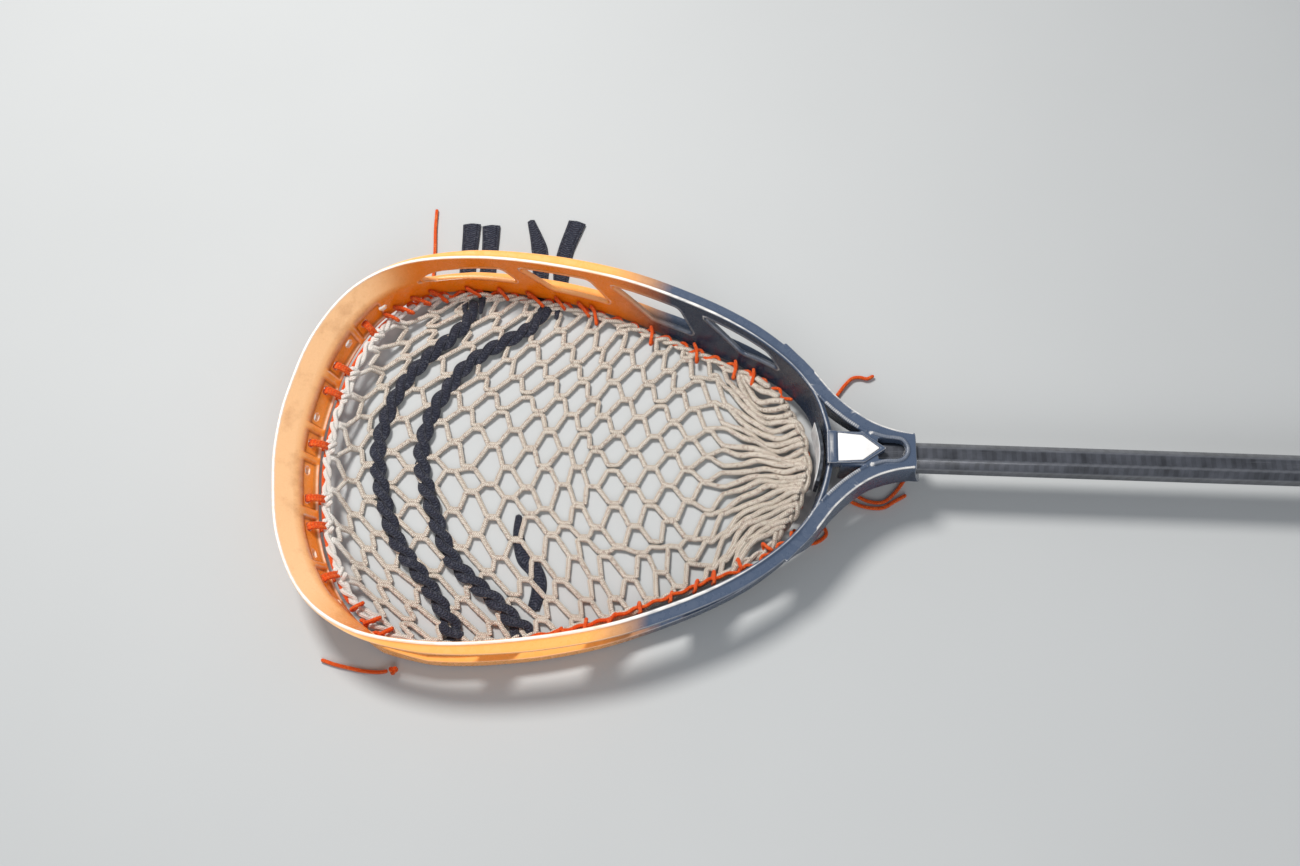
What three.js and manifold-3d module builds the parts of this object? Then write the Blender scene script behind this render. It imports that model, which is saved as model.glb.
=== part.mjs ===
// A goalie's lacrosse stick, lying face up: moulded head, strung pocket, octagonal shaft.
// Millimetres, +Z up, +X from the scoop to the butt. The pocket rests on z = 0.
import * as THREE from 'three';
import { mergeVertices } from 'three/addons/utils/BufferGeometryUtils.js';
import Module from 'manifold-3d';

const wasm = await Module();
wasm.setup();

// ---------- driving dimensions ----------
const RIM_Z = 50.5; // crest of the rim bead above the surface
const GAP = 0.3; // clearance between pieces that touch
const CLEAR = 60; // how far a cutter runs past what it cuts

// Half of the rim bead seen from above, x from the scoop edge, y to the left.
const RIM_HALF = [
  [0, 0], [3, 36], [14, 82], [38, 122.5], [75, 146], [125, 153.5], [180, 150.5], [247, 138],
  [302, 118], [342, 97.5], [371, 76], [390, 55], [401, 33], [407, 0],
];

// The wall under the bead, by distance from the scoop edge. n runs outward from the bead and
// z down from its crest. ramp is 1 where the wall is the sloping scoop and 0 where it is upright.
const WALL = [
  { x: 0, ramp: 1, bottom: -33, shelf: -16, inner: -25, outer: -21, flange: 1.2 },
  { x: 30, ramp: 1, bottom: -35.5, shelf: -17, inner: -21, outer: -16, flange: 1.2 },
  { x: 60, ramp: 0.6, bottom: -41, shelf: -20, inner: -13, outer: -5, flange: 2.2 },
  { x: 90, ramp: 0.1, bottom: -46, shelf: -29, inner: -5, outer: 3, flange: 4.4 },
  { x: 125, ramp: 0, bottom: -48, shelf: -32.5, inner: -3, outer: 6, flange: 7 },
  { x: 200, ramp: 0, bottom: -48, shelf: -35, inner: -6, outer: 6, flange: 9 },
  { x: 275, ramp: 0, bottom: -48, shelf: -37, inner: -11, outer: 3.5, flange: 9 },
  { x: 320, ramp: 0, bottom: -47, shelf: -34.5, inner: -11, outer: 3.5, flange: 9 },
  { x: 350, ramp: 0, bottom: -44, shelf: -29.5, inner: -9, outer: 4, flange: 9 },
  { x: 375, ramp: 0, bottom: -40, shelf: -24, inner: -6, outer: 4, flange: 8.5 },
  { x: 395, ramp: 0, bottom: -36, shelf: -22, inner: -4, outer: 2.5, flange: 3.2 },
  { x: 407, ramp: 0, bottom: -34, shelf: -22, inner: -3.2, outer: 2.2, flange: 2.6 },
];
const WEB = 3.4; // thickness of the upright wall
const BEAD = 1.6; // half the width of the bead on the rim
const RIM_STATIONS = 92;

// Sidewall windows, corners as [x, z below the crest].
const WINDOWS = [
  [[80, -22], [97, -16], [150, -14], [163, -31], [94, -28]],
  [[164, -10.5], [221, -10.5], [240, -34], [191, -33.5]],
  [[239, -11], [294, -11], [309, -34.5], [275, -35.5]],
  [[314, -8.5], [364, -8.5], [375, -19], [346, -28.5]],
];
const WINDOW_ROUND = 4;

// String holes round the scoop, counted from its middle.
const HOLE_PITCH = 24;
const HOLE_SIZE = [6.6, 4.8];
const HOLES = [-6, -5, -4, -3, -2, -1, 0, 1, 2, 3, 4, 5, 6];
const STRUNG_HOLES = [-5, -3, -2, 0, 2, 3, 5];
const HOLE_RUN = 0.78; // where a hole sits between the edge and the lower lip, outward
const HOLE_DROP = 0.7; // and downward

// Throat and socket.
const ARM_OUTER = [[375, 86.5], [393, 67], [411, 43.5], [427, 29], [440, 21], [455, 15.8], [466, 13.8]];
const ARM_WIDTH = 11;
const ARM_WALL = 3.2;
const ARM_DEPTH = -35;
const ARM_TOP = [-1.2, 2]; // the arms rise towards the socket
const SOCKET_START = 414;
const SOCKET_END = 472;
const SOCKET_HALF_WIDTH = 13.8;
const SOCKET_TOP = 2.6;
const SOCKET_BOTTOM = -26.4;
const SLOT = { start: 441, end: 461.5, halfWidth: 8.2 };
const TRAY = { start: 404, shoulder: 430.5, apex: 447, wide: 13, narrow: 11.6, top: 4.2, bottom: -5 };
const BADGE_INSET = 1.7;
const BADGE_THICKNESS = 0.8;
const BADGE_RECESS = 1.3;

// Shaft: an octagon with slightly hollow sides.
const SHAFT_LENGTH = 1016;
const SHAFT_START = 417;
const SHAFT_Z = -13.2;
const SHAFT_HALF = { y: 10.7, z: 9.8, flatY: 5.1, flatZ: 4.5, hollow: 0.4 };
const SHAFT_WALL = 1.9;
const CAP = { overlap: 30, end: 7, wall: 2.2 };
const BUTT_END = SHAFT_START + SHAFT_LENGTH + GAP + CAP.end;
const SCREW = { x: 428, shank: 1.9, head: 4, headHeight: 2.2, length: 17 };

// Strings, laces and mesh. Heights of these are above the surface.
const STRING = 2.8;
const STRING_Z = STRING / 2 + GAP;
const THROAT_TAIL_LIFT = 0.9; // the stiff ends at the throat stand a little off the surface
const LACE_WIDTH = 12;
const LACE_THICKNESS = 1.6;
const MESH_THICKNESS = 4;
const LACE_Z = MESH_THICKNESS + GAP + LACE_THICKNESS / 2;
const LACE_FLOOR_Z = GAP + LACE_THICKNESS / 2 + 0.1;
const MESH_INSET = 10.5;
const MESH_FLAT = 0.89; // the share of the net that lies on the surface

const SHIFT_X = -(BUTT_END - WALL[0].flange) / 2; // puts the origin under the middle

// ---------- materials ----------
const finish = (color, roughness, metalness = 0) =>
  new THREE.MeshStandardMaterial({ color, roughness, metalness });
const HEAD_PLASTIC = finish(0xf0904a, 0.35);
const BADGE_PLASTIC = finish(0xf2f0ec, 0.3);
const FOAM = finish(0x33363c, 0.9);
const CARBON = finish(0x3a3c42, 0.35, 0.1);
const RUBBER = finish(0x18191b, 0.8);
const STEEL = finish(0xb8bcc2, 0.3, 1);
const MESH_CORD = finish(0xc9bda6, 0.9);
const ORANGE_STRING = finish(0xf4511e, 0.75);
const NAVY_LACE = finish(0x20242f, 0.85);

// ---------- geometry helpers ----------
function toManifold(geometry) {
  const bare = geometry.clone();
  bare.deleteAttribute('normal');
  bare.deleteAttribute('uv');
  const merged = mergeVertices(bare, 1e-4);
  return new wasm.Manifold(new wasm.Mesh({
    numProp: 3,
    vertProperties: new Float32Array(merged.attributes.position.array),
    triVerts: new Uint32Array(merged.index.array),
  }));
}

function toGeometry(manifold) {
  const mesh = manifold.getMesh();
  const geometry = new THREE.BufferGeometry();
  geometry.setAttribute('position', new THREE.BufferAttribute(new Float32Array(mesh.vertProperties), 3));
  geometry.setIndex(new THREE.BufferAttribute(new Uint32Array(mesh.triVerts), 1));
  geometry.computeVertexNormals();
  return geometry;
}

function union(parts) {
  return parts.reduce((sum, part) => sum.add(part));
}

function signedVolume(points, faces) {
  return faces.reduce((sum, [a, b, c]) =>
    sum + points[a].dot(new THREE.Vector3().crossVectors(points[b], points[c])), 0);
}

// Skins a row of equal-sized sections. A closed row joins end to start, an open one is capped.
function loft(sections, closed) {
  const size = sections[0].length;
  const points = sections.flat();
  const faces = [];
  const rows = closed ? sections.length : sections.length - 1;
  for (let row = 0; row < rows; row += 1) {
    const here = row * size;
    const next = ((row + 1) % sections.length) * size;
    for (let i = 0; i < size; i += 1) {
      const j = (i + 1) % size;
      faces.push([here + i, here + j, next + j], [here + i, next + j, next + i]);
    }
  }
  if (!closed) {
    const last = (sections.length - 1) * size;
    const flat = flatten(sections[0]);
    for (const [a, b, c] of THREE.ShapeUtils.triangulateShape(flat, [])) {
      const turned = THREE.ShapeUtils.isClockWise(flat) ? [a, b, c] : [a, c, b];
      faces.push(turned, [last + turned[0], last + turned[2], last + turned[1]]);
    }
  }
  const outward = signedVolume(points, faces) > 0;
  const geometry = new THREE.BufferGeometry();
  geometry.setAttribute('position', new THREE.BufferAttribute(
    new Float32Array(points.flatMap((p) => [p.x, p.y, p.z])), 3));
  geometry.setIndex(faces.flatMap(([a, b, c]) => (outward ? [a, b, c] : [a, c, b])));
  geometry.computeVertexNormals();
  return geometry;
}

// A section's points in its own plane, for capping.
function flatten(section) {
  const [first, second] = section;
  const across = second.clone().sub(first).normalize();
  const normal = new THREE.Vector3();
  section.forEach((p, i) => {
    const q = section[(i + 1) % section.length];
    normal.add(new THREE.Vector3().crossVectors(p.clone().sub(first), q.clone().sub(first)));
  });
  normal.normalize();
  const up = new THREE.Vector3().crossVectors(normal, across);
  return section.map((p) => new THREE.Vector2(p.clone().sub(first).dot(across), p.clone().sub(first).dot(up)));
}

function smooth(t) {
  const clamped = Math.min(1, Math.max(0, t));
  return clamped * clamped * (3 - 2 * clamped);
}

const mix = THREE.MathUtils.lerp;

// A closed outline with rounded corners.
function roundedShape(corners, radius) {
  const shape = new THREE.Shape();
  corners.forEach((corner, i) => {
    const at = new THREE.Vector2(...corner);
    const before = new THREE.Vector2(...corners.at(i - 1));
    const after = new THREE.Vector2(...corners[(i + 1) % corners.length]);
    const reach = (other) => Math.min(radius, at.distanceTo(other) / 2.5);
    const from = at.clone().add(before.clone().sub(at).setLength(reach(before)));
    const to = at.clone().add(after.clone().sub(at).setLength(reach(after)));
    if (i === 0) shape.moveTo(from.x, from.y);
    else shape.lineTo(from.x, from.y);
    shape.quadraticCurveTo(at.x, at.y, to.x, to.y);
  });
  shape.closePath();
  return shape;
}

// Extrudes an outline from low to high, along z unless a matrix turns it.
function extrude(shape, low, high, matrix, curveSegments = 3) {
  const geometry = new THREE.ExtrudeGeometry(shape, { depth: high - low, bevelEnabled: false, curveSegments });
  geometry.translate(0, 0, low);
  if (matrix) geometry.applyMatrix4(matrix);
  return geometry;
}

// Turns an outline drawn in (y, z) so that it is extruded along x.
const ALONG_X = new THREE.Matrix4().makeBasis(
  new THREE.Vector3(0, 1, 0), new THREE.Vector3(0, 0, 1), new THREE.Vector3(1, 0, 0));

// A round or flat cord through the given points.
function cordAlong(points, section, steps, closed = false) {
  const path = new THREE.CatmullRomCurve3(points.map((p) => new THREE.Vector3(...p)), closed, 'centripetal');
  return new THREE.ExtrudeGeometry(section, { steps, extrudePath: path, curveSegments: 8 });
}

function roundSection(diameter, sides) {
  const shape = new THREE.Shape();
  for (let i = 0; i < sides; i += 1) {
    const angle = (2 * Math.PI * i) / sides;
    const [a, b] = [Math.cos(angle) * diameter / 2, Math.sin(angle) * diameter / 2];
    if (i === 0) shape.moveTo(a, b);
    else shape.lineTo(a, b);
  }
  shape.closePath();
  return shape;
}

// A flat lace with rounded edges, thickness first because the path's normal points down.
function laceSection(width) {
  const [half, edge] = [LACE_THICKNESS / 2, width / 2];
  return new THREE.Shape([[half, -edge + half], [half, edge - half], [0, edge], [-half, edge - half],
    [-half, -edge + half], [0, -edge]].map(([a, b]) => new THREE.Vector2(a, b)));
}

// ---------- the rim ----------
const mirrored = RIM_HALF.slice(1, -1).reverse().map(([x, y]) => [x, -y]);
const rimCurve = new THREE.CatmullRomCurve3(
  [...RIM_HALF, ...mirrored].map(([x, y]) => new THREE.Vector3(x, y, 0)), true, 'catmullrom');
rimCurve.arcLengthDivisions = 2000;
const RIM_LENGTH = rimCurve.getLength();

// The bead's place and outward direction at a distance round from the scoop's middle.
function rimAt(distance) {
  const u = THREE.MathUtils.euclideanModulo(distance / RIM_LENGTH, 1);
  const point = rimCurve.getPointAt(u);
  const along = rimCurve.getTangentAt(u);
  const out = new THREE.Vector3(-along.y, along.x, 0);
  const place = (n, z) => point.clone().addScaledVector(out, n).setZ(z + RIM_Z);
  return { point, along, out, wall: wallAt(point.x), place };
}

function wallAt(x) {
  const beyond = WALL.findIndex((row) => row.x > x);
  const next = beyond === -1 ? WALL.length - 1 : Math.max(1, beyond);
  const [a, b] = [WALL[next - 1], WALL[next]];
  const t = Math.min(1, Math.max(0, (x - a.x) / (b.x - a.x)));
  return Object.fromEntries(Object.keys(a).map((key) => [key, mix(a[key], b[key], t)]));
}

// The distance round to the left side's point that is x from the scoop edge.
function distanceAt(x) {
  let [low, high] = [0, RIM_LENGTH / 2];
  for (let i = 0; i < 40; i += 1) {
    const middle = (low + high) / 2;
    if (rimCurve.getPointAt(middle / RIM_LENGTH).x < x) low = middle;
    else high = middle;
  }
  return low;
}

// The wall's section as [n, z] pairs, blended between an upright wall and the scoop.
function wallSection({ ramp, bottom, shelf, inner, outer, flange }) {
  const lean = inner * (shelf / bottom);
  const upright = [
    [-BEAD, -1.8], [-1.2, -0.4], [0, 0], [1.2, -0.4], [1.8, -1.1], [flange, -1.4], [flange, -4],
    [WEB - BEAD, -5], [lean + WEB, shelf + 0.4], [outer, shelf], [outer - 0.5, bottom],
    [inner, bottom], [Math.min(lean, -BEAD), shelf],
  ];
  const scoop = [
    [-1.2, -0.8], [-0.8, -0.2], [0, 0], [0.7, -0.3], [1, -0.8], [flange, -1.3], [0.8, -2.6],
    [-2.4, -7], [-8.5, -16], [-13, -22], [inner + 4.2, bottom], [inner, bottom], [-15.5, -14.5],
  ];
  return upright.map(([n, z], i) => [mix(n, scoop[i][0], ramp), mix(z, scoop[i][1], ramp)]);
}

function rimLoop() {
  const sections = [];
  for (let i = 0; i < RIM_STATIONS; i += 1) {
    const at = rimAt((i / RIM_STATIONS) * RIM_LENGTH);
    sections.push(wallSection(at.wall).map(([n, z]) => at.place(n, z)));
  }
  return loft(sections, true);
}

// A cutter through the wall, for one window on one side (1 left, -1 right).
function windowCutter(corners, side) {
  const middle = corners.reduce((sum, [x]) => sum + x, 0) / corners.length;
  const at = rimAt(side * distanceAt(middle));
  const slope = side * at.along.x;
  const shape = roundedShape(corners.map(([x, z]) => [(x - middle) / slope, z + RIM_Z]), WINDOW_ROUND);
  const up = new THREE.Vector3(0, 0, 1);
  const across = at.out.clone().multiplyScalar(-side);
  const matrix = new THREE.Matrix4().makeBasis(at.along.clone().multiplyScalar(side), up, across);
  matrix.setPosition(at.point);
  return extrude(shape, -CLEAR / 2, CLEAR / 2, matrix);
}

// Where a scoop hole sits: its middle on the wall and the way it is pierced.
function holeAt(index) {
  const at = rimAt(index * HOLE_PITCH);
  const [n, z] = [at.wall.inner * HOLE_RUN, at.wall.bottom * HOLE_DROP];
  const facing = at.out.clone().multiplyScalar(-0.86).setZ(0.5).normalize();
  return { at, n, z, middle: at.place(n, z), facing };
}

function holeCutter(index) {
  const { at, middle, facing } = holeAt(index);
  const [long, short] = HOLE_SIZE.map((size) => size / 2);
  const shape = roundedShape([[-long, -short], [long, -short], [long, short], [-long, short]], short);
  const up = new THREE.Vector3().crossVectors(facing, at.along);
  const matrix = new THREE.Matrix4().makeBasis(at.along, up, facing).setPosition(middle);
  return extrude(shape, -12, 12, matrix, 2);
}

// ---------- throat and socket ----------
function armLoft(side) {
  const path = new THREE.CatmullRomCurve3(ARM_OUTER.map(([x, y]) => new THREE.Vector3(x, side * y, 0)));
  const sections = [];
  const steps = 12;
  for (let i = 0; i <= steps; i += 1) {
    const t = i / steps;
    const edge = path.getPointAt(t);
    const along = path.getTangentAt(t);
    const inward = new THREE.Vector3(along.y, -along.x, 0).multiplyScalar(side);
    const bottom = mix(mix(-5, ARM_DEPTH, smooth(t / 0.3)), SOCKET_BOTTOM, smooth((t - 0.3) / 0.5));
    const top = mix(...ARM_TOP, smooth(t / 0.75));
    const outline = [[0, top], [ARM_WIDTH, top], [ARM_WIDTH, top - 3], [ARM_WALL, top - 3], [ARM_WALL, bottom], [0, bottom]];
    sections.push(outline.map(([n, z]) => edge.clone().addScaledVector(inward, n).setZ(z + RIM_Z)));
  }
  return loft(sections, false);
}

function traySolid(inset, low, high) {
  const { start, shoulder, apex, wide, narrow } = TRAY;
  const outline = [[start + 4 * inset, inset - wide], [shoulder - inset / 2, inset - narrow], [apex - 2.6 * inset, 0],
    [shoulder - inset / 2, narrow - inset], [start + 4 * inset, wide - inset]];
  return extrude(new THREE.Shape(outline.map(([x, y]) => new THREE.Vector2(x, y))), low + RIM_Z, high + RIM_Z);
}

function socketBlock() {
  const [half, top, bottom] = [SOCKET_HALF_WIDTH, SOCKET_TOP + RIM_Z, SOCKET_BOTTOM + RIM_Z];
  const outline = roundedShape([[-half, bottom], [half, bottom], [half, top], [-half, top]], 3);
  return extrude(outline, SOCKET_START, SOCKET_END + 8, ALONG_X);
}

// Trims the socket's mouth hollow, and further out at the bottom than at the top.
function mouthCutter() {
  const radius = 62;
  const cutter = new THREE.CylinderGeometry(radius, radius, 90, 96);
  cutter.rotateX(Math.PI / 2);
  cutter.rotateY(-0.3);
  cutter.translate(SOCKET_END + radius - 3.5, 0, RIM_Z + SOCKET_TOP);
  return cutter;
}

function slotCutter() {
  const { start, end, halfWidth } = SLOT;
  const shape = new THREE.Shape();
  shape.moveTo(start, -halfWidth);
  shape.lineTo(end - halfWidth, -halfWidth);
  shape.absarc(end - halfWidth, 0, halfWidth, -Math.PI / 2, Math.PI / 2, false);
  shape.lineTo(start, halfWidth);
  shape.closePath();
  return extrude(shape, RIM_Z + SHAFT_Z, RIM_Z + 10, null, 8);
}

// The shaft's outline grown by a margin, as points in (y, z).
function shaftOutline(margin) {
  const { y, z, flatY, flatZ, hollow } = SHAFT_HALF;
  const grow = 0.41 * margin;
  const quarter = [[y + margin, flatZ + grow], [flatY + grow, z + margin]];
  const corners = [
    ...quarter, ...quarter.map(([a, b]) => [-a, b]).reverse(),
    ...quarter.map(([a, b]) => [-a, -b]), ...quarter.map(([a, b]) => [a, -b]).reverse(),
  ];
  return corners.flatMap(([a, b], i) => {
    const [c, d] = corners[(i + 1) % corners.length];
    const middle = new THREE.Vector2((a + c) / 2, (b + d) / 2);
    const inset = middle.clone().setLength(middle.length() - hollow);
    return [new THREE.Vector2(a, b), inset];
  });
}

function shaftPrism(margin, from, to) {
  const shape = new THREE.Shape(shaftOutline(margin).map((p) => p.clone().setY(p.y + SHAFT_Z + RIM_Z)));
  return extrude(shape, from, to, ALONG_X);
}

function screwCutter(radius) {
  const hole = new THREE.CylinderGeometry(radius, radius, 30, 20);
  hole.rotateX(Math.PI / 2);
  hole.translate(SCREW.x, 0, RIM_Z + SOCKET_BOTTOM);
  return hole;
}

function headFrame() {
  const sides = [1, -1];
  const shell = union([rimLoop(), ...sides.map(armLoft), socketBlock()].map(toManifold));
  const solid = shell.subtract(toManifold(slotCutter())).add(toManifold(traySolid(0, TRAY.bottom, TRAY.top)));
  const cuts = [
    ...sides.flatMap((side) => WINDOWS.map((corners) => windowCutter(corners, side))),
    ...HOLES.map(holeCutter),
    shaftPrism(GAP, SHAFT_START - GAP, SOCKET_END + CLEAR),
    mouthCutter(), screwCutter(SCREW.shank + GAP),
    traySolid(BADGE_INSET, TRAY.top - BADGE_RECESS, TRAY.top + 5),
  ];
  return toGeometry(cuts.reduce((body, cutter) => body.subtract(toManifold(cutter)), solid));
}

function throatBadge() {
  const low = TRAY.top - BADGE_RECESS + GAP;
  return traySolid(BADGE_INSET + GAP, low, low + BADGE_THICKNESS);
}

// Foam pad glued to the throat wall, inside the pocket.
function ballStop() {
  const [halfArc, steps, top, bottom, thickness] = [25, 10, -6, -29, 3.5];
  const sections = [];
  for (let i = 0; i <= steps; i += 1) {
    const at = rimAt(RIM_LENGTH / 2 + mix(-halfArc, halfArc, i / steps));
    const back = at.wall.inner - 2 * GAP;
    sections.push([[back, top], [back - thickness, top], [back - thickness, bottom], [back, bottom]]
      .map(([n, z]) => at.place(n, z)));
  }
  return loft(sections, false);
}

// ---------- shaft and its fittings ----------
function shaftTube() {
  const end = SHAFT_START + SHAFT_LENGTH;
  const outside = toManifold(shaftPrism(0, SHAFT_START, end));
  const inside = toManifold(shaftPrism(-SHAFT_WALL, SHAFT_START - 1, end + 1));
  return toGeometry(outside.subtract(inside).subtract(toManifold(screwCutter(SCREW.shank + GAP))));
}

function endCap() {
  const shaftEnd = SHAFT_START + SHAFT_LENGTH;
  const outside = toManifold(shaftPrism(GAP + CAP.wall, shaftEnd - CAP.overlap, BUTT_END));
  const inside = toManifold(shaftPrism(GAP, shaftEnd - CAP.overlap - 1, shaftEnd + GAP));
  return toGeometry(outside.subtract(inside));
}

function headScrew() {
  const { shank, head, headHeight, length } = SCREW;
  const profile = [[0, length], [shank, length], [shank, 0], [head, 0], [head, -headHeight * 0.5],
    [head * 0.7, -headHeight], [0, -headHeight]];
  const screw = new THREE.LatheGeometry(profile.map(([r, z]) => new THREE.Vector2(r, z)).reverse(), 20);
  screw.rotateX(Math.PI / 2);
  screw.translate(SCREW.x, 0, RIM_Z + SOCKET_BOTTOM - GAP);
  return screw;
}

// ---------- pocket ----------
function meshInset(x) {
  return MESH_INSET + 8 * smooth((x - 365) / 30) + 2 * smooth((60 - x) / 60);
}

// The net as one shallow dish, flat where it lies on the surface, its border up at the lips.
function meshPocket() {
  const [spokes, rings] = [56, [1, 0.95, MESH_FLAT, 0.5]];
  const centre = new THREE.Vector3(200, 0, 0);
  const rowsOf = (lift) => rings.map((scale) => {
    const row = [];
    for (let i = 0; i < spokes; i += 1) {
      const at = rimAt((i / spokes) * RIM_LENGTH);
      const edge = at.place(at.wall.inner - meshInset(at.point.x), 0);
      const edgeZ = Math.max(MESH_THICKNESS, RIM_Z + at.wall.bottom + 0.5);
      const top = mix(MESH_THICKNESS, edgeZ, smooth((scale - MESH_FLAT) / (1 - MESH_FLAT)));
      row.push(centre.clone().lerp(edge, scale).setZ(Math.max(0, top - lift)));
    }
    return row;
  });
  const sections = [...rowsOf(MESH_THICKNESS).reverse(), ...rowsOf(0)];
  const dish = toManifold(loft(sections, false));
  const groove = cordAlong(POCKET_TAIL, laceSection(8 + 2), 14);
  groove.scale(1, 1, 2);
  groove.translate(0, 0, -4 * GAP - LACE_THICKNESS / 4);
  return toGeometry(dish.subtract(toManifold(groove)));
}

function topString() {
  const reach = 6.2 * HOLE_PITCH;
  const points = [];
  for (let i = 0; i <= 12; i += 1) {
    const at = rimAt(mix(-reach, reach, i / 12));
    points.push(at.place(at.wall.inner - 3.4, at.wall.bottom + 1.2).toArray());
  }
  const run = cordAlong(points, roundSection(STRING, 8), 44);
  return toGeometry(union([run, ...STRUNG_HOLES.map(holeLoop)].map(toManifold)));
}

// One turn of the top string: out of a hole, over the lip, back under it.
function holeLoop(index) {
  const { at, middle, facing } = holeAt(index);
  const { inner, bottom } = at.wall;
  const through = (depth) => middle.clone().addScaledVector(facing, depth);
  const route = [
    through(1), at.place(inner - 2.6, bottom + 7), at.place(inner - 3.4, bottom + 1),
    at.place(inner - 0.8, bottom - 2.6), at.place(inner + 8.4, bottom + 0.2), through(-6.4), through(-3),
  ];
  return cordAlong(route.map((p) => p.toArray()), roundSection(STRING, 6), 20, true);
}

// Runs inside the lower rail from the scoop's corner to the throat.
function sidewallString(side) {
  const [from, to, steps] = [distanceAt(66), distanceAt(388), 18];
  const points = [];
  for (let i = 0; i <= steps; i += 1) {
    const at = rimAt(side * mix(from, to, i / steps));
    points.push(at.place(at.wall.inner - 2.2, at.wall.bottom + 5).toArray());
  }
  return cordAlong(points, roundSection(STRING, 8), 56);
}

function throatString() {
  const points = [];
  for (let i = 0; i <= 8; i += 1) {
    const at = rimAt(RIM_LENGTH / 2 + mix(-44, 44, i / 8));
    points.push(at.place(at.wall.inner - 6, at.wall.bottom - 1.5).toArray());
  }
  return cordAlong(points, roundSection(STRING, 8), 22);
}

// Laces across the pocket, from the right rail to the left one.
const FRONT_LACE = [
  [137, -134], [126, -115], [108, -92], [89, -69], [74, -36], [64, 2], [66, 30], [76, 62], [94, 88],
  [112, 108], [121, 119], [124.7, 124.5],
].map(([x, y]) => [x, y, LACE_Z]);
const REAR_LACE = [
  [184, -129], [172, -116], [150, -98], [133, -83], [121, -62], [109, -34], [98, 0], [101, 34], [112, 60],
  [126, 82], [150, 101], [172, 114], [184, 120.5],
].map(([x, y]) => [x, y, LACE_Z]);

// A lace end: to the border of the mesh, under the lower rail and out over the ground.
function laceTail(start, border, underRail, ...outside) {
  const half = start.map((value, i) => (value + border[i]) / 2);
  const beside = underRail.map((value, i) => mix(value, outside[0][i], 0.3));
  return [
    ...[start, half, border].map(([x, y]) => [x, y, LACE_Z]),
    ...[underRail, beside, ...outside].map(([x, y]) => [x, y, LACE_FLOOR_Z]),
  ];
}

const LACE_TAILS = {
  front_lace_tail_1: laceTail(
    [118.2, 128.2], [117.2, 141.5], [117, 148], [116, 161], [115.5, 178], [115, 196], [114.5, 217]),
  front_lace_tail_2: laceTail(
    [131, 127.4], [131.8, 142.5], [132, 149], [132.5, 161], [132.5, 178], [132, 196], [131, 216]),
  rear_lace_tail_1: laceTail(
    [180.2, 128.4], [178.6, 137.6], [178, 144], [177.5, 157], [176.5, 172], [174, 192], [164, 222]),
  rear_lace_tail_2: laceTail(
    [193.2, 124.5], [194, 135.4], [194, 142], [194, 155], [194, 172], [196, 192], [204, 222]),
};
const POCKET_TAIL = [[177, -42], [178, -58], [184, -76], [193, -86], [197, -98], [194, -116]]
  .map(([x, y]) => [x, y, LACE_FLOOR_Z]);

// ---------- loose string ends ----------
const onGround = (points, lift = 0) => points.map(([x, y]) => [x, y, STRING_Z + lift]);
const STRING_TAILS = {
  sidewall_tail_left: onGround([[89, 147], [88, 160], [87, 175], [86, 190], [84, 210], [83, 230]]),
  sidewall_tail_right: [
    [94.2, -165, 5.5], [88, -165.5, 2.6], ...onGround([[76, -165], [64, -163], [54, -161], [44, -158]])],
  throat_tail_left: [
    [402, 45, 9], [410, 53, 5.5],
    ...onGround([[419, 65], [426, 75], [432, 81], [438, 82], [443, 81], [449, 84]], THROAT_TAIL_LIFT)],
  throat_tail_right_1: [
    [421, -10, 12], [427, -14, 6],
    ...onGround([[434, -19], [442, -22.5], [452, -22.5], [461, -15], [469, -4]], THROAT_TAIL_LIFT)],
  throat_tail_right_2: [
    [416, -17, 12], [423, -21, 6],
    ...onGround([[432, -25], [442, -27.5], [452, -27], [461, -21.5], [470, -16]], THROAT_TAIL_LIFT)],
  throat_tail_loop: [
    [384, -47, 4], ...onGround([[391, -54], [398, -57], [405, -54], [409, -49], [407, -44], [402, -41]])],
};

// Stopper knot against the right rail, where the sidewall string ends.
function stringKnot() {
  const knot = new THREE.IcosahedronGeometry(3.6, 1);
  knot.scale(1, 0.95, 1.1);
  knot.translate(98.2, -164.4, 5.6);
  return knot;
}

// ---------- the assembly ----------
const stick = new THREE.Group();
stick.position.x = SHIFT_X;

function add(name, geometry, material) {
  const mesh = new THREE.Mesh(geometry, material);
  mesh.name = name;
  stick.add(mesh);
}

add('head_frame', headFrame(), HEAD_PLASTIC);
add('throat_badge', throatBadge(), BADGE_PLASTIC);
add('ball_stop', ballStop(), FOAM);
add('shaft', shaftTube(), CARBON);
add('end_cap', endCap(), RUBBER);
add('head_screw', headScrew(), STEEL);
add('mesh_pocket', meshPocket(), MESH_CORD);
add('top_string', topString(), ORANGE_STRING);
add('sidewall_string_left', sidewallString(1), ORANGE_STRING);
add('sidewall_string_right', sidewallString(-1), ORANGE_STRING);
add('throat_string', throatString(), ORANGE_STRING);
add('front_lace', cordAlong(FRONT_LACE, laceSection(LACE_WIDTH), 36), NAVY_LACE);
add('rear_lace', cordAlong(REAR_LACE, laceSection(LACE_WIDTH), 36), NAVY_LACE);
for (const [name, route] of Object.entries(LACE_TAILS)) {
  add(name, cordAlong(route, laceSection(LACE_WIDTH), 18), NAVY_LACE);
}
add('pocket_lace_tail', cordAlong(POCKET_TAIL, laceSection(8), 14), NAVY_LACE);
for (const [name, route] of Object.entries(STRING_TAILS)) {
  add(name, cordAlong(route, roundSection(STRING, 8), 14), ORANGE_STRING);
}
add('string_knot', stringKnot(), ORANGE_STRING);

export default stick;
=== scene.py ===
"""A goalie's lacrosse stick lying face up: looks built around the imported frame.

Outlines and routes are in millimetres, x from the scoop's edge, y to the stick's left, z up from the
floor. to_frame() turns them into the frame's metres.
"""

import math

import bpy
import numpy as np
from mathutils import Matrix, Vector


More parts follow.
